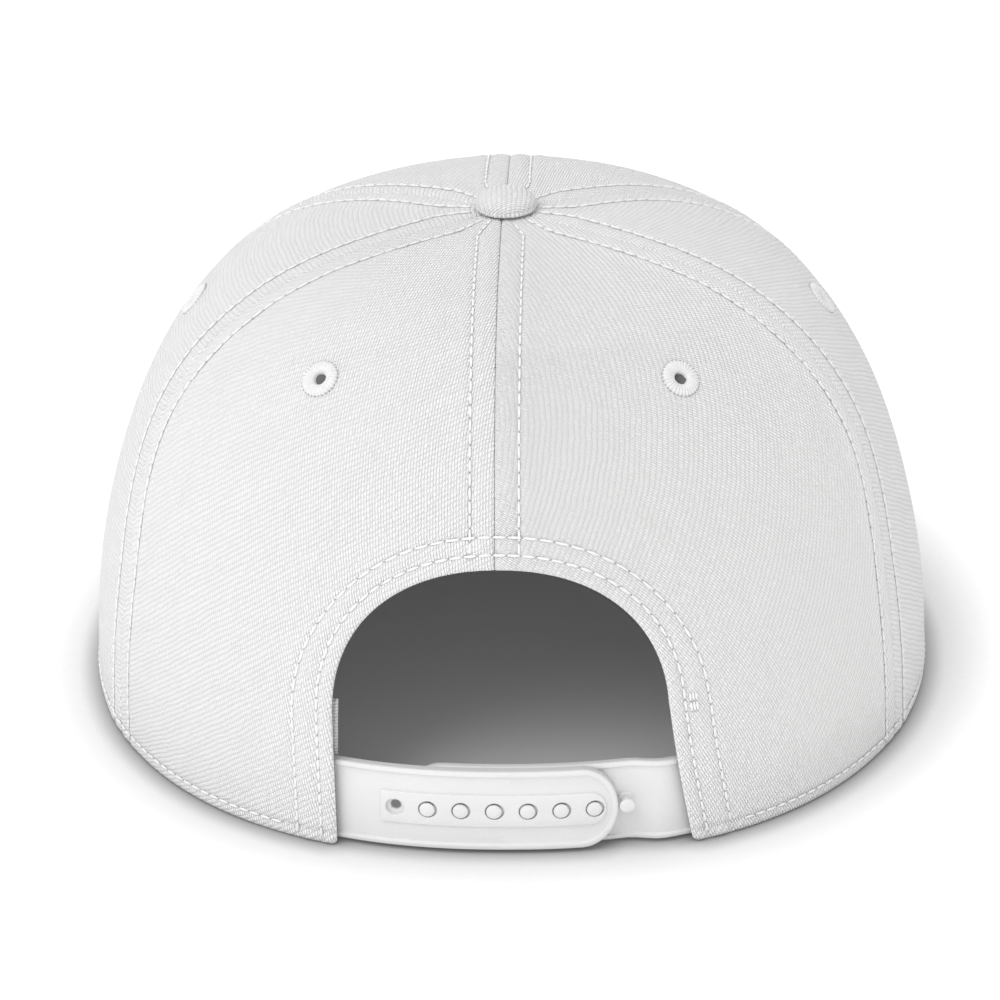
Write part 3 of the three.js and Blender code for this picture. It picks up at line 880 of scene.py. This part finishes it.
def thread_body(bodies, centre, along, normal, half_length, half_width, half_height, finish=0):
    """Adds one stitch or spot: the small sphere, drawn out along a direction."""
    along, normal = Vector(along).normalized(), Vector(normal).normalized()
    across = along.cross(normal).normalized()
    turn = np.array([across * half_width, normal * half_height, along * half_length])
    bodies.append((BODY_VERTS @ turn + np.array(centre), finish))


def add_bodies(bm, bodies):
    """Copies the small sphere into a bmesh, once for each body."""
    for points, finish in bodies:
        verts = [bm.verts.new(point) for point in points]
        for face in BODY_FACES:
            made = bm.faces.new([verts[i] for i in face])
            made.material_index = finish
            made.smooth = True


def stitch_row(bodies, angles, climbs, kept):
    """Stitches from hole to hole along places on the crown, where they are kept."""
    points, normals = crown_point(angles, climbs), crown_normal(angles, climbs)
    points = points + normals * cloth_lift(points)[:, None]
    for i in range(len(points) - 1):
        start, end = points[i], points[i + 1]
        if not (kept[i] and kept[i + 1]):
            continue
        normal = normals[i] + normals[i + 1]
        centre = (start + end) / 2 + normal / np.linalg.norm(normal) * 0.2 * MM
        length = np.linalg.norm(end - start)
        thread_body(bodies, centre, end - start, normal, length * 0.46, THREAD_HALF, THREAD_HALF * 0.9)
        # A flat dark spot at the needle hole: painted shade.
        thread_body(bodies, start, end - start, normal, 0.3 * MM, 0.24 * MM, 0.1 * MM, finish=1)


# %% Rows beside the seams
stitches = []
for line in SEAM_LINES:
    holes = np.arange(0.5, line["run"][-1] / STITCH) * STITCH
    for side in (1, -1):
        angle, climb = beside(line, holes, lambda points: side * ROW_OFFSET * narrowing(points))
        point = crown_point(angle, climb)
        kept = np.hypot(point[:, 0], point[:, 1] - AXIS_Y) > 6.2 * MM
        kept &= point[:, 2] > np.where(np.abs(np.degrees(angle)) > 104, 4.4, 1.2) * MM
        kept &= from_line(point, arch_line)[0] > 1.2 * MM
        kept &= (np.abs(angle) > 0.6) | (point[:, 2] > ARCH_TOP)
        stitch_row(stitches, angle, climb, kept)
print(len(stitches) // 2, "stitches beside the seams")

# %% Rows along the opening and the rim
count = round(arch_line["run"][-1] / STITCH)
holes = (np.arange(count) + 0.5) / count * arch_line["run"][-1]
for row_at in (lambda points: np.full(len(points), INNER_ROW), lambda points: outer_row(points[:, 2])):
    angle, climb = beside(arch_line, holes, lambda points: -row_at(points))
    stitch_row(stitches, angle, climb, crown_point(angle, climb)[:, 2] > 0.9 * MM)
holes = np.arange(0.5, rim_line["run"][-1] / STITCH) * STITCH
angle, climb = beside(rim_line, holes, lambda points: np.full(len(points), -HEM_ROW))
point = crown_point(angle, climb)
arch_gap = from_line(point, arch_line)[0]
kept = (np.abs(np.degrees(angle)) < 103) & (np.abs(angle) > 0.35)
kept &= arch_gap > outer_row(point[:, 2]) + 1 * MM
stitch_row(stitches, angle, climb, kept)

# %% The bar tack at the opening's right edge
TACK_HEIGHT = 33 * MM
TACK_OFFSETS = (4.3, 4.9, 5.5)
tack_run = float(np.interp(TACK_HEIGHT, arch_line["points"][:100, 2], arch_line["run"][:100]))
places = tack_run + np.array([-2.3, 0, 2.3]) * MM
for offset in TACK_OFFSETS:
    angle, climb = beside(arch_line, places, lambda points: np.full(len(points), -offset * MM))
    stitch_row(stitches, angle, climb, np.ones(3, bool))
bm = bmesh.new()
add_bodies(bm, stitches)
finish_piece("stitches", bm, [sewing_thread, needle_hole_painted_shade], [])

# %% [markdown]
# Each panel has a sewn eyelet for air: a hole closed round with a dense satin stitch,
# so thread lies across a raised ring, side by side like the spokes of a wheel. The
# ring is one profile spun about the hole, and its vertices then swell and sink by
# turns to give the spokes. Small dark dots, painted shade, mark where the needle went in.

# %% Eyelets
SPOKES = 30
EYELET_PROFILE = [
    (3.9, -0.35), (3.92, 0.02), (3.8, 0.26), (3.5, 0.46), (3.0, 0.6), (2.4, 0.64), (1.9, 0.54),
    (1.55, 0.3), (1.32, -0.05), (1.2, -0.7), (1.16, -1.75), (1.5, -1.85), (1.52, -0.35),
]
satin_thread, tree, shader = new_material("satin_thread", Roughness=0.5)
shader.inputs["Specular IOR Level"].default_value = 0.4
place = add_node(tree, "TexCoord").outputs["Object"]
twist = add_node(tree, "TexNoise", {"Vector": place, "Scale": 1500.0, "Detail": 3.0})
paint(tree, shader, twist.outputs["Fac"], 0.62, 0.84)
emboss(tree, shader, twist.outputs["Fac"], 0.08, strength=0.4)


def seat_on_cloth(angle, climb):
    """A matrix with its z out of the cloth, its y up it and its origin on it."""
    angle, climb = np.array([angle]), np.array([climb])
    point, normal = crown_point(angle, climb), crown_normal(angle, climb)[0]
    upward = (crown_point(angle, climb + 1e-3) - point)[0]
    centre = Vector(point[0] + normal * cloth_lift(point)[0])
    z = Vector(normal)
    y = (Vector(upward) - z * Vector(upward).dot(z)).normalized()
    return Matrix.Translation(centre) @ Matrix((y.cross(z), y, z)).transposed().to_4x4()


def spun(bm, profile, steps, closed=False):
    """A profile of radius and height, in millimetres, spun about the z axis."""
    verts = [bm.verts.new((radius * MM, 0, height * MM)) for radius, height in profile]
    edges = [bm.edges.new(pair) for pair in zip(verts, verts[1:])]
    if closed:
        edges.append(bm.edges.new((verts[-1], verts[0])))
    before = set(bm.verts) - set(verts)
    bmesh.ops.spin(bm, geom=verts + edges, axis=(0, 0, 1), angle=2 * math.pi, steps=steps, use_merge=True)
    made = [v for v in bm.verts if v not in before]
    bmesh.ops.remove_doubles(bm, verts=made, dist=1e-6)
    made = [v for v in bm.verts if v not in before]
    for face in {face for v in made for face in v.link_faces}:
        face.smooth = True
    return made


for (part, side_name), (angle, climb) in eyelets.items():
    bm = bmesh.new()
    ring = spun(bm, EYELET_PROFILE, SPOKES * 6, closed=True)
    for v in ring:
        radius = math.hypot(v.co.x, v.co.y)
        if v.co.z > -0.2 * MM:
            spoke = abs(math.cos(SPOKES / 2 * math.atan2(v.co.y, v.co.x))) ** 0.7 - 0.6
            share = spoke * 0.24 * MM * min(1, (radius - 1 * MM) / MM)
            v.co.z += share
            v.co.xy *= 1 + share * 0.8 / radius
    bmesh.ops.recalc_face_normals(bm, faces=bm.faces[:])
    needle_dots = []
    for spoke in range(SPOKES):
        turn = (spoke + 0.5) / SPOKES * 2 * math.pi
        out = Vector((math.cos(turn), math.sin(turn), 0))
        dot = out * 4.0 * MM - Vector((0, 0, 0.05 * MM))
        thread_body(needle_dots, dot, out, (0, 0, 1), 0.22 * MM, 0.17 * MM, 0.1 * MM, finish=1)
    add_bodies(bm, needle_dots)
    bmesh.ops.transform(bm, matrix=seat_on_cloth(angle, climb), verts=bm.verts[:])
    name = f"eyelet_{part}_{side_name}"
    finish_piece("satin_" + name, bm, [satin_thread, needle_hole_painted_shade], [name])

# %% [markdown]
# The button is a metal shell covered with the same twill, held by a stem that goes
# down through all six panels. One profile is spun for dome, folded edge, stem and
# clinch. The cloth was pulled over the dome, so its flat coordinates are measured
# along the dome from the middle, and the ribs fan out over it as real ones do.

# %% Button
low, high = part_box("button")
BUTTON_RADIUS = (high.x - low.x) / 2 / MM
BUTTON_TOP, BUTTON_FOOT = high.z / MM, low.z / MM
BUTTON_HEIGHT = 4.2
DOME_EDGE = 1.15
base = BUTTON_TOP - BUTTON_HEIGHT
dome = []
for step in range(1, 25):
    turn = math.radians(90 * step / 24)
    across = math.sin(turn) ** 0.96
    rise = math.cos(turn) ** 0.86 if step < 24 else 0.0
    dome.append((BUTTON_RADIUS * across, base + DOME_EDGE + (BUTTON_HEIGHT - DOME_EDGE) * rise))
fold = [(6.78, base + 0.75), (6.62, base + 0.4), (6.3, base + 0.12), (5.7, base), (2.5, base)]
clinch = [(2.5, BUTTON_FOOT + 0.8), (4.9, BUTTON_FOOT + 0.8), (5, BUTTON_FOOT + 0.4)]
clinch += [(4.9, BUTTON_FOOT), (0, BUTTON_FOOT)]
bm = bmesh.new()
spun(bm, [(0, BUTTON_TOP)] + dome + fold + clinch, 112)
bmesh.ops.recalc_face_normals(bm, faces=bm.faces[:])
layer = bm.loops.layers.uv.new("cloth")
dome_line = np.array([(0, BUTTON_TOP)] + dome)
dome_run, dome_radius = lengths_along(dome_line), dome_line[:, 0]
for face in bm.faces:
    for loop in face.loops:
        radius = math.hypot(loop.vert.co.x, loop.vert.co.y) / MM
        reach = np.interp(radius, dome_radius, dome_run) / max(radius, 1e-6)
        loop[layer].uv = (-loop.vert.co.x / MM * reach, loop.vert.co.y / MM * reach)
bmesh.ops.translate(bm, vec=(0, AXIS_Y, 0), verts=bm.verts[:])
finish_piece("covered_button", bm, [cap_twill], ["button"], sharp=50)

# %% [markdown]
# The strap is two soft plastic halves. The upper one has seven holes, each in a
# shallow round recess; the lower one has seven studs, and six of them are pushed
# through, which leaves one hole empty and one stud bare. Both have a rounded lip
# round a sunk channel, and the upper one a raised band along its holes. A half is
# first modelled flat, lying on its inner face: x along the rim, y up and z outwards.
# Then it is cut into short slices and bent on to the inside of the crown.

# %% Sizes of the strap
STRAP_HALF = 9.5
STRAP_MIDDLE = 0.8 + STRAP_HALF
STRAP_THICK = 1.8
STUD_STRAP_THICK = 1.4
TIP_LENGTH = 7.8
SNAP_PITCH = 7
FIRST_HOLE = 22.4
HOLES_TIP = -24.6
STUDS_TIP = 20.4
TAB = 15
STRAP_SEAT = 2.0
OVERLAP_SEAT = 4.1
LIP = 0.6
LIP_SLOPE = 0.38
CHANNEL = 0.58
RIM_MIDDLE = float(np.interp(0, rim_line["angle"], rim_line["run"]))
ARCH_ANGLE = float(angle_at_side(ARCH_HALF, 0.0))


def rim_angle(distance):
    """The angle at a distance in millimetres along the rim from the back's middle."""
    return np.interp(np.asarray(distance) * MM + RIM_MIDDLE, rim_line["run"], rim_line["angle"])


ARCH_RUN = float(np.interp(ARCH_ANGLE, rim_line["angle"], rim_line["run"]) - RIM_MIDDLE) / MM
print("the tabs end", round(ARCH_RUN + TAB, 1), "mm from the middle")


def stud_depth(angle):
    """How deep the stud half's outer face lies: behind the hole half, then out to the shell."""
    start = -rim_angle(FIRST_HOLE - 7 * SNAP_PITCH)
    return OVERLAP_SEAT + (STRAP_SEAT - OVERLAP_SEAT) * smooth(-angle, start, ARCH_ANGLE)


# %% A strap half, flat
def round_ended(bm, tip, end, half_height, tip_length, thickness, foot=0.0):
    """A flat bar with one rounded end. Returns its outer face."""
    toward = 1 if end > tip else -1
    ring = bmesh.ops.create_circle(bm, segments=80, radius=1)["verts"]
    bmesh.ops.delete(bm, geom=[v for v in ring if v.co.x * toward > 1e-4], context="VERTS")
    bow = [v for v in ring if v.is_valid]
    corners = [v for v in bow if abs(v.co.x) < 1e-4]
    for v in bow:
        v.co = (tip + toward * tip_length * (1 + v.co.x * toward), STRAP_MIDDLE + half_height * v.co.y, foot)
    grown = bmesh.ops.extrude_vert_indiv(bm, verts=corners)["verts"]
    for v in grown:
        v.co.x = end
    bm.edges.new(grown)
    loop = {edge for v in bow + grown for edge in v.link_edges}
    face = bmesh.ops.edgeloop_fill(bm, edges=list(loop))["faces"][0]
    raised = bmesh.ops.extrude_face_region(bm, geom=[face])["geom"]
    verts = [item for item in raised if isinstance(item, bmesh.types.BMVert)]
    bmesh.ops.translate(bm, vec=(0, 0, thickness), verts=verts)
    return next(item for item in raised if isinstance(item, bmesh.types.BMFace))


def rounded_edges(bm, face, radius, segments):
    """Rounds the edges of a bar's outer face."""
    bmesh.ops.recalc_face_normals(bm, faces=bm.faces[:])
    shared = {"offset_type": "OFFSET", "profile": 0.5, "affect": "EDGES", "material": -1}
    bmesh.ops.bevel(bm, geom=list(face.edges), offset=radius, segments=segments, **shared)


def lip_and_channel(bm, outer):
    """Rounds the outer edge and sinks the middle, which leaves a lip."""
    height = outer.calc_center_median().z
    rounded_edges(bm, outer, 0.55, 5)
    at_height = [face for face in bm.faces if abs(face.calc_center_median().z - height) < 1e-4]
    outer = max(at_height, key=lambda face: face.calc_area())
    bm.normal_update()
    bmesh.ops.inset_region(bm, faces=[outer], thickness=LIP, depth=0)
    for width, drop in ((0.4, 0.15), (0.3, 0.7), (0.4, 0.15)):
        bmesh.ops.inset_region(bm, faces=[outer], thickness=LIP_SLOPE * width, depth=-CHANNEL * drop)


def loose_object(name, bm):
    bmesh.ops.recalc_face_normals(bm, faces=bm.faces[:])
    return object_from(name, bm)


def combined(target, tool, operation):
    """The mesh of two bodies after a Boolean, as a bmesh. Both bodies are used up."""
    modifier = target.modifiers.new("cut", "BOOLEAN")
    modifier.operation, modifier.object, modifier.solver = operation, tool, "EXACT"
    bpy.context.view_layer.update()
    result = bmesh.new()
    cut = target.evaluated_get(bpy.context.evaluated_depsgraph_get())
    result.from_mesh(bpy.data.meshes.new_from_object(cut))
    for piece in (target, tool):
        bpy.data.meshes.remove(piece.data)
    return result


def bent(bm, depth_at, thickness):
    """Slices a flat half and bends it on to the inside of the crown. Its sizes are in millimetres."""
    low = min(v.co.x for v in bm.verts)
    high = max(v.co.x for v in bm.verts)
    cuts = [((place, 0, 0), (1, 0, 0)) for place in np.arange(math.ceil(low), high, 2.0)]
    cuts += [((0, place, 0), (0, 1, 0)) for place in np.arange(STRAP_MIDDLE - 8, STRAP_MIDDLE + 9, 3.2)]
    for place, across in cuts:
        whole = bm.verts[:] + bm.edges[:] + bm.faces[:]
        bmesh.ops.bisect_plane(bm, geom=whole, plane_co=place, plane_no=across, dist=1e-5)
    bmesh.ops.remove_doubles(bm, verts=bm.verts[:], dist=1e-4)
    bmesh.ops.triangulate(bm, faces=[face for face in bm.faces if len(face.verts) > 4])
    flat = np.array([v.co for v in bm.verts])
    angle = rim_angle(flat[:, 0])
    climb = climb_at_height(angle, flat[:, 1] * MM)
    depth = (depth_at(angle) + thickness - flat[:, 2]) * MM
    points = crown_point(angle, climb) - crown_normal(angle, climb) * depth[:, None]
    for v, point in zip(bm.verts, points):
        v.co = point
    for face in bm.faces:
        face.smooth = True
    bmesh.ops.recalc_face_normals(bm, faces=bm.faces[:])


# %% Plastic of the strap
strap_plastic, tree, shader = new_material("strap_plastic", Roughness=0.5)
shader.inputs["Specular IOR Level"].default_value = 0.45
place = add_node(tree, "TexCoord").outputs["Object"]
grain = add_node(tree, "TexNoise", {"Vector": place, "Scale": 1500.0, "Detail": 3.0, "Roughness": 0.6})
cloud = add_node(tree, "TexNoise", {"Vector": place, "Scale": 90.0, "Detail": 2.0})
paint(tree, shader, cloud.outputs["Fac"], 0.69, 0.75)
rough = maths(tree, "MULTIPLY_ADD", grain.outputs["Fac"], 0.3, 0.35)
tree.links.new(rough, shader.inputs["Roughness"])
emboss(tree, shader, grain.outputs["Fac"], 0.16, strength=0.5)

# %% The half with holes
BAND_TOP = STRAP_THICK - 0.08
bm = bmesh.new()
lip_and_channel(bm, round_ended(bm, HOLES_TIP, ARCH_RUN + TAB, STRAP_HALF, TIP_LENGTH, STRAP_THICK))
body = loose_object("flat_strap", bm)
bm = bmesh.new()
outer = round_ended(bm, HOLES_TIP + 2.6, FIRST_HOLE + 3, 3.75, 3.2, BAND_TOP - 0.6, foot=0.6)
rounded_edges(bm, outer, 0.16, 3)
bm = combined(body, loose_object("flat_band", bm), "UNION")
body = loose_object("flat_strap", bm)
bm = bmesh.new()
floor_height = STRAP_THICK - 1.0
for index in range(7):
    bore = [(0, -1), (1.15, -1), (1.15, floor_height - 0.25), (1.35, floor_height)]
    bore += [(2.0, floor_height), (2.0, BAND_TOP - 0.12), (2.15, BAND_TOP + 0.03), (2.15, 3), (0, 3)]
    made = spun(bm, [(radius / MM, height / MM) for radius, height in bore], 48)
    bmesh.ops.translate(bm, vec=(FIRST_HOLE - index * SNAP_PITCH, STRAP_MIDDLE, 0), verts=made)
bm = combined(body, loose_object("flat_bores", bm), "DIFFERENCE")
bent(bm, lambda angle: STRAP_SEAT, STRAP_THICK)
finish_piece("plastic_strap_with_holes", bm, [strap_plastic], ["strap_with_holes"], sharp=32)

# %% The half with studs
NECK = 0.85
HEAD_RADIUS = 1.62
STUD_SHIFT = 0.12
bm = bmesh.new()
lip_and_channel(bm, round_ended(bm, STUDS_TIP, -ARCH_RUN - TAB, STRAP_HALF, TIP_LENGTH, STUD_STRAP_THICK))
face = STUD_STRAP_THICK
for index in range(1, 8):
    head = face + 1.5
    stud = [(0, 0.5), (1.9, 0.5), (1.9, face - 0.3), (1.75, face - 0.12), (NECK, face - 0.1), (NECK, head)]
    stud += [(HEAD_RADIUS - 0.1, head), (HEAD_RADIUS, head + 0.1), (HEAD_RADIUS, head + 0.36)]
    stud += [(HEAD_RADIUS - 0.1, head + 0.52), (HEAD_RADIUS - 0.35, head + 0.62)]
    stud += [(0.7, head + 0.68), (0, head + 0.7)]
    made = spun(bm, [(radius / MM, height / MM) for radius, height in stud], 48)
    place = (FIRST_HOLE + STUD_SHIFT - index * SNAP_PITCH, STRAP_MIDDLE - STUD_SHIFT, 0)
    bmesh.ops.translate(bm, vec=place, verts=made)
bent(bm, stud_depth, STUD_STRAP_THICK)
finish_piece("plastic_strap_with_studs", bm, [strap_plastic], ["strap_with_studs"], sharp=32)

# %% [markdown]
# The sweatband is a soft ribbed tape, sewn in along the rim and turned up inside.
# Its back end shows in the opening as a narrow pale edge. It is laid like a panel,
# as two sheets at its two depths, and its ribs come from its own flat coordinates.

# %% Ribbed tape
def ribbed_tape(name, pitch):
    material, tree, shader = new_material(name, Roughness=0.85)
    shader.inputs["Sheen Weight"].default_value = 0.15
    cloth = add_node(tree, "UVMap", uv_map="cloth").outputs[0]
    parts = add_node(tree, "SeparateXYZ", (cloth,)).outputs
    yarn = add_node(tree, "TexNoise", {"Vector": cloth, "Scale": 1.4, "Detail": 3.0})
    up = maths(tree, "MULTIPLY_ADD", yarn.outputs["Fac"], 0.12, parts[1])
    rib = maths(tree, "ABSOLUTE", maths(tree, "SINE", maths(tree, "MULTIPLY", up, math.pi / pitch)))
    loops = maths(tree, "ABSOLUTE", maths(tree, "SINE", maths(tree, "MULTIPLY", parts[0], math.pi / 0.6)))
    weave = maths(tree, "MULTIPLY", rib, maths(tree, "MULTIPLY_ADD", loops, 0.3, 0.7))
    # The colour follows the ribs' height: darker in the grooves between them, which is painted shade.
    paint(tree, shader, weave, 0.62, 0.86)
    emboss(tree, shader, weave, 0.2)
    return material


# %% Two sheets, joined at their borders
def shell_of_sheets(outer, inner, flat):
    """A closed shell from two tables of points with the same borders' places."""
    bm = bmesh.new()
    layer = bm.loops.layers.uv.new("cloth")
    for finish, points in enumerate((outer, inner)):
        laid_grid(bm, points, flat, finish, layer)
    bmesh.ops.remove_doubles(bm, verts=bm.verts[:], dist=2e-6)
    bmesh.ops.recalc_face_normals(bm, faces=bm.faces[:])
    print("open edges left:", sum(edge.is_boundary for edge in bm.edges))
    return bm


# %% Sweatband
BAND_LOW, BAND_WIDE, BAND_THICK = 0.6, 32, 1.2
BAND_SEAT = STRAP_SEAT + STRAP_THICK + 0.4
BAND_ENDS = (35.3 * MM, 38.9 * MM)
MM_PER_RADIAN = 90
ENDS = np.array([0, 0.08, 0.25, 0.6])
TAB_ANGLE = float(rim_angle(ARCH_RUN + TAB))
first, last = (float(angle_at_side(end, 0.0)) for end in BAND_ENDS)
last = 2 * math.pi - last
tips = np.append(ENDS, 1.1) / MM_PER_RADIAN
plain = np.linspace(first + 2 / MM_PER_RADIAN, last - 2 / MM_PER_RADIAN, 400)
band_angles = np.concatenate([first + tips, plain, last - tips[::-1]])
heights = np.concatenate([ENDS, np.linspace(1.4, BAND_WIDE - 1.4, 22), BAND_WIDE - ENDS[::-1]]) + BAND_LOW
angles, levels = np.meshgrid(band_angles, heights)
climbs = climb_at_height(angles, levels * MM)
from_back = np.minimum(angles, 2 * math.pi - angles)
depth = BAND_SEAT + (STRAP_SEAT - BAND_SEAT) * smooth(from_back, TAB_ANGLE * 1.08, TAB_ANGLE * 1.4)
edge_gap = np.minimum(levels - BAND_LOW, BAND_LOW + BAND_WIDE - levels)
edge_gap = np.minimum(edge_gap, np.minimum(angles - first, last - angles) * MM_PER_RADIAN)
thin = turn_in(edge_gap, BAND_THICK / 2)
base, normal = crown_point(angles, climbs), crown_normal(angles, climbs)
flat = np.stack([(angles - math.pi) * 85, levels], -1)
outer = base - normal * ((depth + thin) * MM)[..., None]
inner = base - normal * ((depth + BAND_THICK - thin) * MM)[..., None]
bm = shell_of_sheets(outer, inner, flat)
# The band's inner sheet takes the same painted shade as the panels' inner side.
tapes = [ribbed_tape("ribbed_tape", 0.75), painted_shade_inside]
finish_piece("ribbed_sweatband", bm, tapes, ["sweatband"], sharp=60)

# %% [markdown]
# The visor is a stiff board covered with the same twill on both sides and stitched
# in rows that follow its edge. The photograph hides it behind the crown, so its
# shape is the usual flat one. Its sheets run from the crown's wall to the outer
# edge, where they round over, and each row of stitches pulls a shallow groove.

# %% Outline of the visor
VISOR_END = math.radians(104)
VISOR_THICK = 3.2 * MM
VISOR_ROWS = np.array([3.5, 10.5, 17.5, 24.5, 31.5, 38.5]) * MM
VISOR_SHOULDER = 58 * MM
VISOR_ROUND = 2.4
low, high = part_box("visor")
visor_half = (high.x - low.x) / 2
shoulder = AXIS_Y - VISOR_SHOULDER
reach = shoulder - low.y
turn = np.linspace(0, math.pi, 400)
bow_x = visor_half * signed_power(np.cos(turn), 2 / VISOR_ROUND)
bow = np.stack([bow_x, shoulder - reach * np.sin(turn) ** (2 / VISOR_ROUND), 0 * turn], -1)
root = crown_point(np.array([VISOR_END, -VISOR_END]), np.array([0.0, 0.0]))
side_share = np.linspace(0, 1, 60)[:, None]
sides = [a * (1 - side_share) + b * side_share for a, b in ((root[0], bow[0]), (bow[-1], root[1]))]
outline = np.concatenate([sides[0], bow[1:-1], sides[1]])
visor_edge = {"points": outline, "run": lengths_along(outline)}
print("the visor's edge is", round(visor_edge["run"][-1] / MM), "mm long")


def points_at(places, points):
    """Points at places along a line of points."""
    run = lengths_along(points)
    return np.stack([np.interp(places, run, points[:, axis]) for axis in range(3)], -1)


def visor_relief(points):
    """Grooves of the visor's rows, by the distance from its outer edge."""
    gap, run = from_line(points * (1, 1, 0), visor_edge)
    lift = ridge(gap, 0.1, 1.6, 1.2) + slow_waves(points) * 0.4
    for row in VISOR_ROWS:
        lift = lift + row_dip(gap, run, row, width=0.9 * MM, depth=0.28 * MM)
    return lift, gap


# %% Visor
columns = 330
wall_angles = np.linspace(VISOR_END, 2 * math.pi - VISOR_END, 500)
wall = line_of(wall_angles, np.zeros(500))
wall_angles = np.interp(np.linspace(0, wall["run"][-1], columns), wall["run"], wall_angles)
rim = np.zeros(columns)
inside = crown_point(wall_angles, rim) - crown_normal(wall_angles, rim + 1e-3) * (1, 1, 0) * CLOTH
outside = points_at(np.linspace(0, visor_edge["run"][-1], columns), outline)
VISOR_EDGE = [0, 0.06, 0.2, 0.45, 0.8, 1.2, 1.6, 2.2, 2.8, 3.5, 4.2, 5]
lengths = np.linalg.norm(outside - inside, axis=1)
rows = np.array([spaced(length, [0, 0.5], VISOR_EDGE, 84) / length for length in lengths]).T
base = inside[None] * (1 - rows[..., None]) + outside[None] * rows[..., None]
shape = base.shape[:2]
lift, gap = visor_relief(base.reshape(-1, 3))
lift = lift * smooth(gap, 0, 1.5 * MM) - turn_in(gap, VISOR_THICK / 2)
sheets = []
for level, way in ((VISOR_THICK, 1), (0, -1)):
    sheet = base.reshape(-1, 3) * (1, 1, 0)
    sheet[:, 2] = level + way * np.minimum(lift, 0.0 if way < 0 else 1)
    sheet = sheet.reshape(*shape, 3)
    sheet[..., 2] = np.clip(sheet[..., 2], 0, VISOR_THICK + 0.4 * MM)
    sheet[0, :, 2] = sheet[-1, :, 2] = sheet[:, 0, 2] = sheet[:, -1, 2] = VISOR_THICK / 2
    sheets.append(sheet)
bm = shell_of_sheets(*sheets, turned_cloth(base[..., :2] / MM, 40))
finish_piece("covered_visor", bm, [cap_twill, cap_twill], ["visor"], sharp=60)

# %% Rows of the visor
stitches = []
ahead = np.gradient(outline, axis=0)
inward = np.stack([ahead[:, 1], -ahead[:, 0], 0 * ahead[:, 0]], -1)
inward *= np.sign(inward[len(inward) // 2, 1]) / np.linalg.norm(inward, axis=-1, keepdims=True)
for row in VISOR_ROWS:
    line = outline + inward * row
    line = line[from_line(line, visor_edge)[0] > row * 0.985]
    points = points_at(np.arange(0.5, lengths_along(line)[-1] / STITCH) * STITCH, line)
    angle = np.arctan2(points[:, 0], points[:, 1] - AXIS_Y)
    wall_point = crown_point(angle, np.zeros(len(angle)))
    radius, wall_radius = (np.hypot(place[:, 0], place[:, 1] - AXIS_Y) for place in (points, wall_point))
    kept = (radius > wall_radius) & (from_line(points, rim_line)[0] > 1.5 * MM)
    lift, _ = visor_relief(points)
    for level, way in ((VISOR_THICK, 1), (0, -1)):
        for i in range(len(points) - 1):
            if not (kept[i] and kept[i + 1]):
                continue
            middle = (points[i] + points[i + 1]) / 2 * (1, 1, 0)
            middle[2] = level + way * (min(lift[i], 0) + 0.12 * MM)
            along = (points[i + 1] - points[i]) * (1, 1, 0)
            if way < 0:
                middle[2] = max(middle[2], THREAD_HALF * 0.9)
            thread_body(stitches, middle, along, (0, 0, way), STITCH * 0.46, THREAD_HALF, THREAD_HALF * 0.9)
bm = bmesh.new()
add_bodies(bm, stitches)
finish_piece("visor_stitches", bm, [sewing_thread], [])
